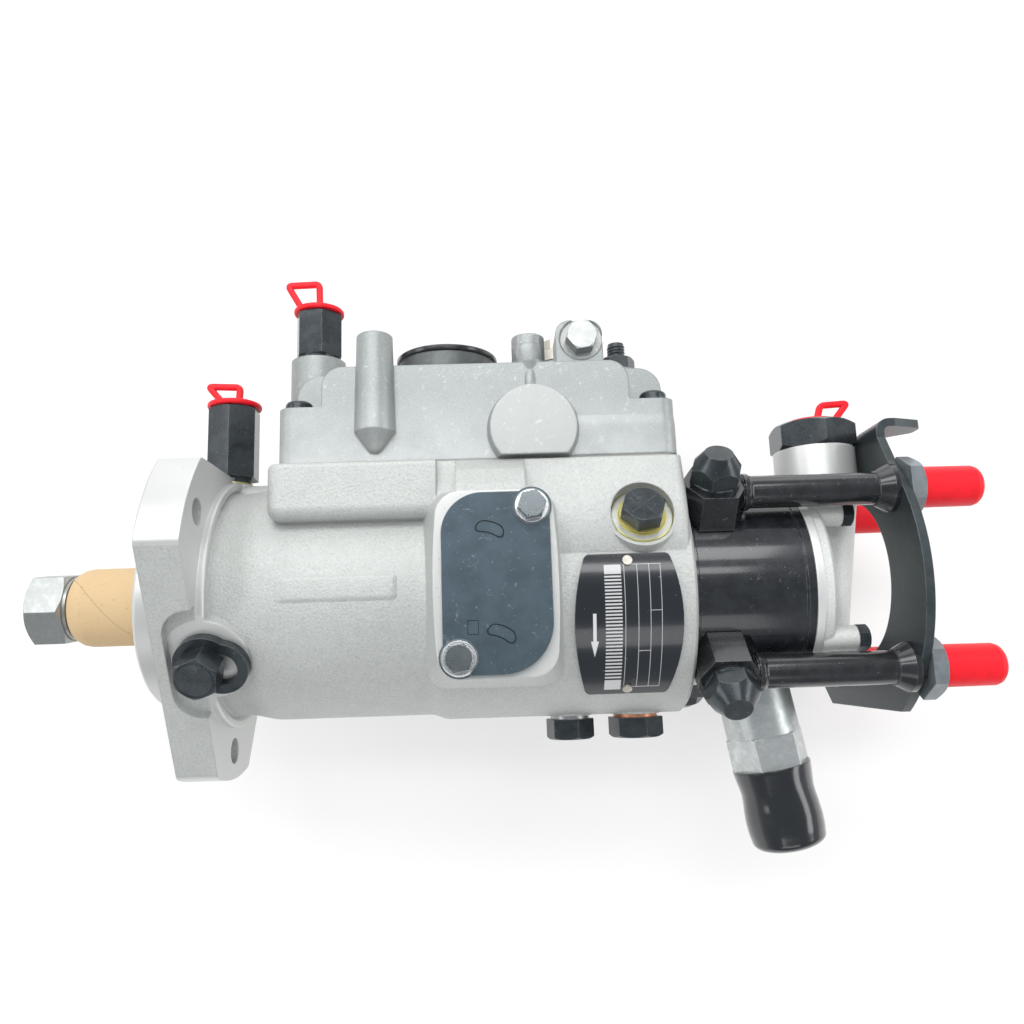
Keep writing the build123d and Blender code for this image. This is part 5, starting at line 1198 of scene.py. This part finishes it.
@dataclass
class ScrewThread(Detail):
    """Thread that shows on the upright stop screw."""

    centre: tuple[float, float] = (160.0, 10.0)
    z_ends: tuple[float, float] = (93.7, 99.6)
    root: float = 3.22
    crest: float = 3.62
    pitch: float = 1.25
    runout: float = 0.8
    inside: float = 0.6

    def shells(self) -> list[Shell]:
        """One shell: radius = root + (crest - root) * |2 frac(z / pitch - a / 2 pi) - 1|, closed inside the screw.

        Returns:
            The closed shells, in millimetres.
        """
        a = np.linspace(0, 2 * np.pi, 48, endpoint=False)[:, None]
        z = np.linspace(*self.z_ends, 50)[None, :]
        wave = np.abs(2 * np.mod(z / self.pitch - a / (2 * np.pi), 1.0) - 1)
        fade = smooth_step((self.z_ends[1] - z) / self.runout)
        outer = self.root + (self.crest - self.root) * wave * fade
        radius = np.concatenate([outer, np.full((len(a), 2), self.root - self.inside)], axis=1)
        height = np.concatenate([z + 0 * a, np.tile(self.z_ends[::-1], (len(a), 1))], axis=1)
        x = self.centre[0] + radius * np.cos(a)
        y = self.centre[1] + radius * np.sin(a)
        return [Shell(np.stack([x, y, height], axis=-1))]


@dataclass
class PipeCollars(Detail):
    """Short brazed collars where the four delivery pipes leave their bodies."""

    offset: float = 42.8
    start_x: float = 194.2
    first_deg: float = 45.0
    loop: tuple[tuple[float, float], ...] = ((0, 4.8), (0, 6.4), (1.5, 6.4), (1.8, 6.2), (2.2, 5.85), (2.8, 5.66),
                                             (3.0, 4.8))

    def shells(self) -> list[Shell]:
        """Four rings: one closed loop turned about each pipe's axis.

        Returns:
            The closed shells, in millimetres.
        """
        loop = np.array(self.loop)
        angles = np.radians(self.first_deg + 90.0 * np.arange(4))
        return [swept_ring((self.start_x, self.offset * math.cos(a), self.offset * math.sin(a)), (1, 0, 0), loop, 40)
                for a in angles]


@dataclass
class SeatWasher(Detail):
    """Wide plated washer in the locating bolt's seat."""

    seat: Point = (157.5, -41.43, 21.11)
    axis: Point = (0.0, -0.891, 0.454)
    radii: tuple[float, float] = (7.62, 10.2)
    thick: float = 0.8
    chamfer: float = 0.25
    clearance: float = 0.02

    def shells(self) -> list[Shell]:
        """One ring with a small chamfer.

        Returns:
            The closed shells, in millimetres.
        """
        low, high = self.radii
        under, top, cut = self.clearance, self.thick, self.chamfer
        loop = np.array([(under, low), (under, high), (top - cut, high), (top, high - cut), (top, low)])
        return [swept_ring(self.seat, self.axis, loop, 72)]


@dataclass
class VinylCap(Detail):
    """Soft dipped cap over the solenoid's terminal, slightly waisted and uneven."""

    seat: Point = (200.556, 0.0, -33.0)
    tilt_deg: float = 9.9
    mouth: float = 31.3
    well_r: float = 9.1
    well_end: float = 43.5
    stations: tuple[float, ...] = (0.0, 0.5, 3.0, 6.0, 8.5, 11.0, 14.0, 18.0, 22.0, 25.0)
    radii: tuple[float, ...] = (13.75, 13.8, 13.5, 13.1, 12.85, 12.95, 13.25, 13.4, 13.2, 12.8)
    end_round: tuple[float, float] = (3.3, 5.3)
    nub: tuple[tuple[float, float], ...] = ((28.45, 3.0), (28.6, 1.5), (29.2, 1.15), (29.5, 0.7), (29.6, 0.2))

    def shells(self) -> list[Shell]:
        """One shell: a profile turned about the solenoid's axis, with a small sway of the radius.

        The sway is 0.010 cos(2a + 0.25 s) + 0.006 cos(3a - 0.2 s), growing from nothing at the mouth, with s the
        distance from the mouth.

        Returns:
            The closed shells, in millimetres.
        """
        s = np.linspace(0, self.stations[-1], 46)
        wall = np.stack([s, np.interp(s, self.stations, self.radii)], axis=-1)
        wall[1:-1, 1] = (wall[:-2, 1] + 2 * wall[1:-1, 1] + wall[2:, 1]) / 4
        a = np.linspace(0, np.pi / 2, 12)[1:]
        long, wide = self.end_round
        end = np.stack([self.stations[-1] + long * np.sin(a), self.radii[-1] - wide * (1 - np.cos(a))], axis=-1)
        deep = self.well_end - self.mouth
        inside = np.array([(deep, 0.2), (deep, self.well_r), (0.4, self.well_r), (0.0, self.well_r + 0.4)])
        profile = np.concatenate([inside, wall, end, self.nub])
        turn = np.linspace(0, 2 * np.pi, 96, endpoint=False)[None, :]
        along = profile[:, :1]
        grow = smooth_step(along / 8.0) * (np.arange(len(profile)) >= len(inside))[:, None]
        sway = grow * (0.010 * np.cos(2 * turn + 0.25 * along) + 0.006 * np.cos(3 * turn - 0.2 * along))
        t = math.radians(self.tilt_deg)
        profile[:, 0] += self.mouth
        return [turned_shell(self.seat, (math.sin(t), 0.0, -math.cos(t)), profile, sway, 96)]


@dataclass
class PullPlug:
    """One soft plug: a flat flange, a stem in the union and a leaning pull loop with rounded corners."""

    x: float
    seat_z: float
    flange_r: float
    stem_r: float
    corners: tuple[tuple[float, float], ...]
    flange: float = 2.0
    stem: float = 4.8
    strap: tuple[float, float] = (2.5, 2.3)
    edge: float = 0.75
    bend: float = 1.7
    squareness: float = 0.6

    def shells(self) -> list[Shell]:
        """Two shells: the turned flange with its stem, and the strap carried round the loop's path.

        The strap's section is (w sgn(cos t) |cos t|^n, h sgn(sin t) |sin t|^n), with n its squareness.

        Returns:
            The closed shells, in millimetres.
        """
        r, f, b = self.flange_r, self.flange, self.edge
        a = np.linspace(0, np.pi / 2, 6)
        low = np.stack([b - b * np.cos(a), r - b + b * np.sin(a)], axis=-1)
        high = np.stack([f - b + b * np.sin(a), r - b + b * np.cos(a)], axis=-1)
        ends = np.array([(-self.stem, 0.3), (-self.stem, self.stem_r - 0.5), (-self.stem + 0.6, self.stem_r),
                         (0.0, self.stem_r)])
        profile = np.concatenate([ends, low, high, [(f + 0.05, r * 0.5), (f + 0.08, 0.3)]])
        body = turned_shell((self.x, 0.0, self.seat_z), (0, 0, 1), profile)
        path = rounded_path(np.array(self.corners), self.bend)
        ahead = np.roll(path, -1, axis=0) - np.roll(path, 1, axis=0)
        ahead /= np.linalg.norm(ahead, axis=1, keepdims=True)
        side = np.stack([-ahead[:, 1], ahead[:, 0]], axis=-1)
        turn = np.linspace(0, 2 * np.pi, 20, endpoint=False)
        u, v = (size / 2 * np.sign(wave) * np.abs(wave) ** self.squareness
                for size, wave in zip(self.strap, (np.cos(turn), np.sin(turn))))
        flat = path[:, None, :] + u[None, :, None] * side[:, None, :]
        x = self.x + flat[..., 0]
        z = self.seat_z + self.flange + flat[..., 1]
        return [body, Shell(np.stack([x, np.broadcast_to(v, x.shape), z], axis=-1))]


@dataclass
class PullPlugs(Detail):
    """The three soft plugs in the unions."""

    plugs: tuple[PullPlug, ...] = (
        PullPlug(11.0, 74.0, 10.0, 3.45, ((-3.9, 0.0), (1.5, 0.0), (1.9, 6.9), (-10.2, 7.5))),
        PullPlug(43.0, 111.1, 9.6, 3.45, ((-6.2, 0.2), (0.3, 0.2), (0.0, 11.3), (-12.3, 10.9))),
        PullPlug(232.0, 60.6, 10.1, 5.35, ((2.3, -0.3), (8.6, -0.3), (14.9, 7.3), (4.4, 6.7))),
    )

    def shells(self) -> list[Shell]:
        """The shells of every plug."""
        return [shell for plug in self.plugs for shell in plug.shells()]


# ---------------------------------------------------------------- studio
@dataclass
class Lamp:
    """One soft rectangular lamp."""

    name: str
    place: Point
    aim: Point
    size: tuple[float, float]
    watts: float

    def build(self) -> None:
        """Adds the lamp, turned to face its aim."""
        data = bpy.data.lights.new(self.name, "AREA")
        data.shape = "RECTANGLE"
        data.size, data.size_y = self.size
        data.energy = self.watts
        lamp = placed(self.name, data)
        lamp.location = self.place
        turn = (Vector(self.aim) - Vector(self.place)).to_track_quat("-Z", "Y")
        lamp.rotation_euler = turn.to_euler()


@dataclass
class Studio:
    """Pale table that the pump lies on, lamps, world and camera."""

    table_y: float = 0.0625
    table_half: float = 1.6
    camera_place: Point = (0.110, -0.3148, -0.0242)
    yaw_deg: float = 1.07
    pitch_deg: float = 9.97
    roll_deg: float = 1.886
    focal_px: float = 848.2
    picture_px: int = 1024
    sensor_mm: float = 36.0
    pale: Colour = (1.0, 1.0, 1.0)
    room: Colour = (0.30, 0.32, 0.34)
    world_light: float = 0.64
    table_glow: float = 0.5
    lamps: list[Lamp] = field(default_factory=lambda: [
        Lamp("key", (-0.05, -1.0, 0.80), (0.1, 0, 0), (1.4, 0.36), 8.4),
        Lamp("front", (-0.05, -1.1, 0.34), (0.1, 0, 0), (1.2, 0.15), 3.0),
        Lamp("left", (-0.95, -0.60, 0.10), (0.05, 0, 0), (0.35, 1.1), 3.5),
        Lamp("right", (1.15, -0.60, 0.05), (0.15, 0, 0), (0.35, 1.1), 4.0),
        Lamp("low", (0.05, -0.9, -0.9), (0.1, 0, 0), (1.1, 0.4), 2.2),
        Lamp("sky", (0.15, -0.2, 1.2), (0.12, 0, 0), (1.2, 0.6), 3.2),
    ])

    def build(self) -> None:
        """Builds the whole studio."""
        self.build_world()
        self.build_table()
        for lamp in self.lamps:
            lamp.build()
        self.build_camera()
        bpy.context.scene.view_settings.view_transform = "Standard"

    def build_world(self) -> None:
        """World that lights evenly, is pale to the camera, and in reflections is pale behind and dim in the room."""
        world = bpy.data.worlds.new("studio")
        world.use_nodes = True
        nodes = Nodes(world.node_tree)
        _, y, z = nodes.split(nodes.node("TexCoord").outputs["Generated"])
        behind = (y * 0.8 + z * 0.35 + 0.45).held()
        path = nodes.node("LightPath").outputs
        sight = Value(nodes, path["Is Camera Ray"])
        shown = nodes.mix(sight.most(behind), self.room, self.pale)
        seen = sight.most(Value(nodes, path["Is Glossy Ray"])).most(Value(nodes, path["Is Transmission Ray"]))
        light = nodes.node("Background", {}, {"Color": self.pale, "Strength": self.world_light})
        pale = nodes.node("Background", {}, {"Color": shown, "Strength": 1.0})
        mixed = nodes.node("MixShader", {}, {0: seen, 1: light, 2: pale})
        nodes.node("OutputWorld", {}, {"Surface": mixed})
        bpy.context.scene.world = world

    def build_table(self) -> None:
        """Pale plane behind the pump; its back lets light and sight through."""
        h, y = self.table_half, self.table_y
        corners = [(-h, y, -h), (h, y, -h), (h, y, h), (-h, y, h)]
        mesh = bpy.data.meshes.new("table")
        mesh.from_pydata(corners, [], [(0, 1, 2, 3)])
        table = placed("table", mesh)
        kit = Kit("table_top")
        grey = kit.noise(600.0, 2.0, 0.4)
        kit.finish(Base_Color=kit.mix(grey * 0.2, (0.90, 0.90, 0.90), (0.87, 0.87, 0.88)), Roughness=0.8)
        glow = kit.node("Emission", {}, {"Color": self.pale, "Strength": 1.0})
        lit = kit.node("MixShader", {}, {0: self.table_glow, 1: kit.shader, 2: glow})
        back = kit.node("NewGeometry").outputs["Backfacing"]
        both = kit.node("MixShader", {}, {0: back, 1: lit, 2: kit.node("BsdfTransparent")})
        kit.link(both, kit.output.inputs["Surface"])
        mesh.materials.append(kit.material)

    def build_camera(self) -> None:
        """Camera at its place, turned by yaw, pitch and roll."""
        yaw, pitch, roll = (math.radians(v) for v in (self.yaw_deg, self.pitch_deg, self.roll_deg))
        ahead = np.array([math.sin(yaw) * math.cos(pitch), math.cos(yaw) * math.cos(pitch), math.sin(pitch)])
        level = np.array([math.cos(yaw), -math.sin(yaw), 0.0])
        above = np.cross(level, ahead)
        right = level * math.cos(roll) - above * math.sin(roll)
        up = above * math.cos(roll) + level * math.sin(roll)
        turn = Matrix([[right[i], up[i], -ahead[i], self.camera_place[i]] for i in range(3)] + [[0, 0, 0, 1]])
        data = bpy.data.cameras.new("camera")
        data.sensor_width = self.sensor_mm
        data.sensor_fit = "HORIZONTAL"
        data.lens = self.focal_px / self.picture_px * self.sensor_mm
        data.clip_start = 0.01
        camera = placed("camera", data)
        camera.matrix_world = turn
        bpy.context.scene.camera = camera


# ---------------------------------------------------------------- the pump
@dataclass
class Pump:
    """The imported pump, its finishes and its small pieces."""

    nodes: Mapping[str, bpy.types.Object]
    materials: dict[Finishes, bpy.types.Material] = field(default_factory=dict)
    details: list[Detail] = field(default_factory=lambda: [
        BarrelStrip("barrel_strip", Finishes.HOUSING, "cast_metal"),
        CoverSkirt("cover_skirt", Finishes.COVER, "cast_metal"),
        BossFlare("boss_flare", Finishes.COVER, "cast_metal"),
        ScrewThread("stop_screw_thread", Finishes.BLACK_BOLT, "black_oxide"),
        PipeCollars("pipe_collars", Finishes.BLACK_PIPE, "black_oxide"),
        SeatWasher("seat_washer", Finishes.SEAT_WASHER, "zinc_plate"),
        VinylCap("soft_terminal_cap", Finishes.VINYL, "black_vinyl", "solenoid_cap"),
        PullPlugs("pull_plugs", Finishes.RED, "red_plastic", "union_plugs"),
    ])

    def dress(self) -> None:
        """Gives every node its finish."""
        for finish in Finishes:
            self.materials[finish] = finish.value.build()
            for piece in finish.value.pieces:
                mesh = self.nodes[piece].data
                mesh.materials.clear()
                mesh.materials.append(self.materials[finish])
            LOG.info("%s on %d pieces", finish.value.name, len(finish.value.pieces))

    def add_details(self) -> None:
        """Builds the small pieces."""
        for detail in self.details:
            detail.build(self.materials)


def main() -> None:
    """Builds the scene in order."""
    logging.basicConfig(level=logging.INFO, format="%(name)s: %(message)s")
    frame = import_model()
    pump = Pump(frame["nodes"])
    pump.dress()
    pump.add_details()
    Studio().build()


if __name__ == "__main__":
    main()
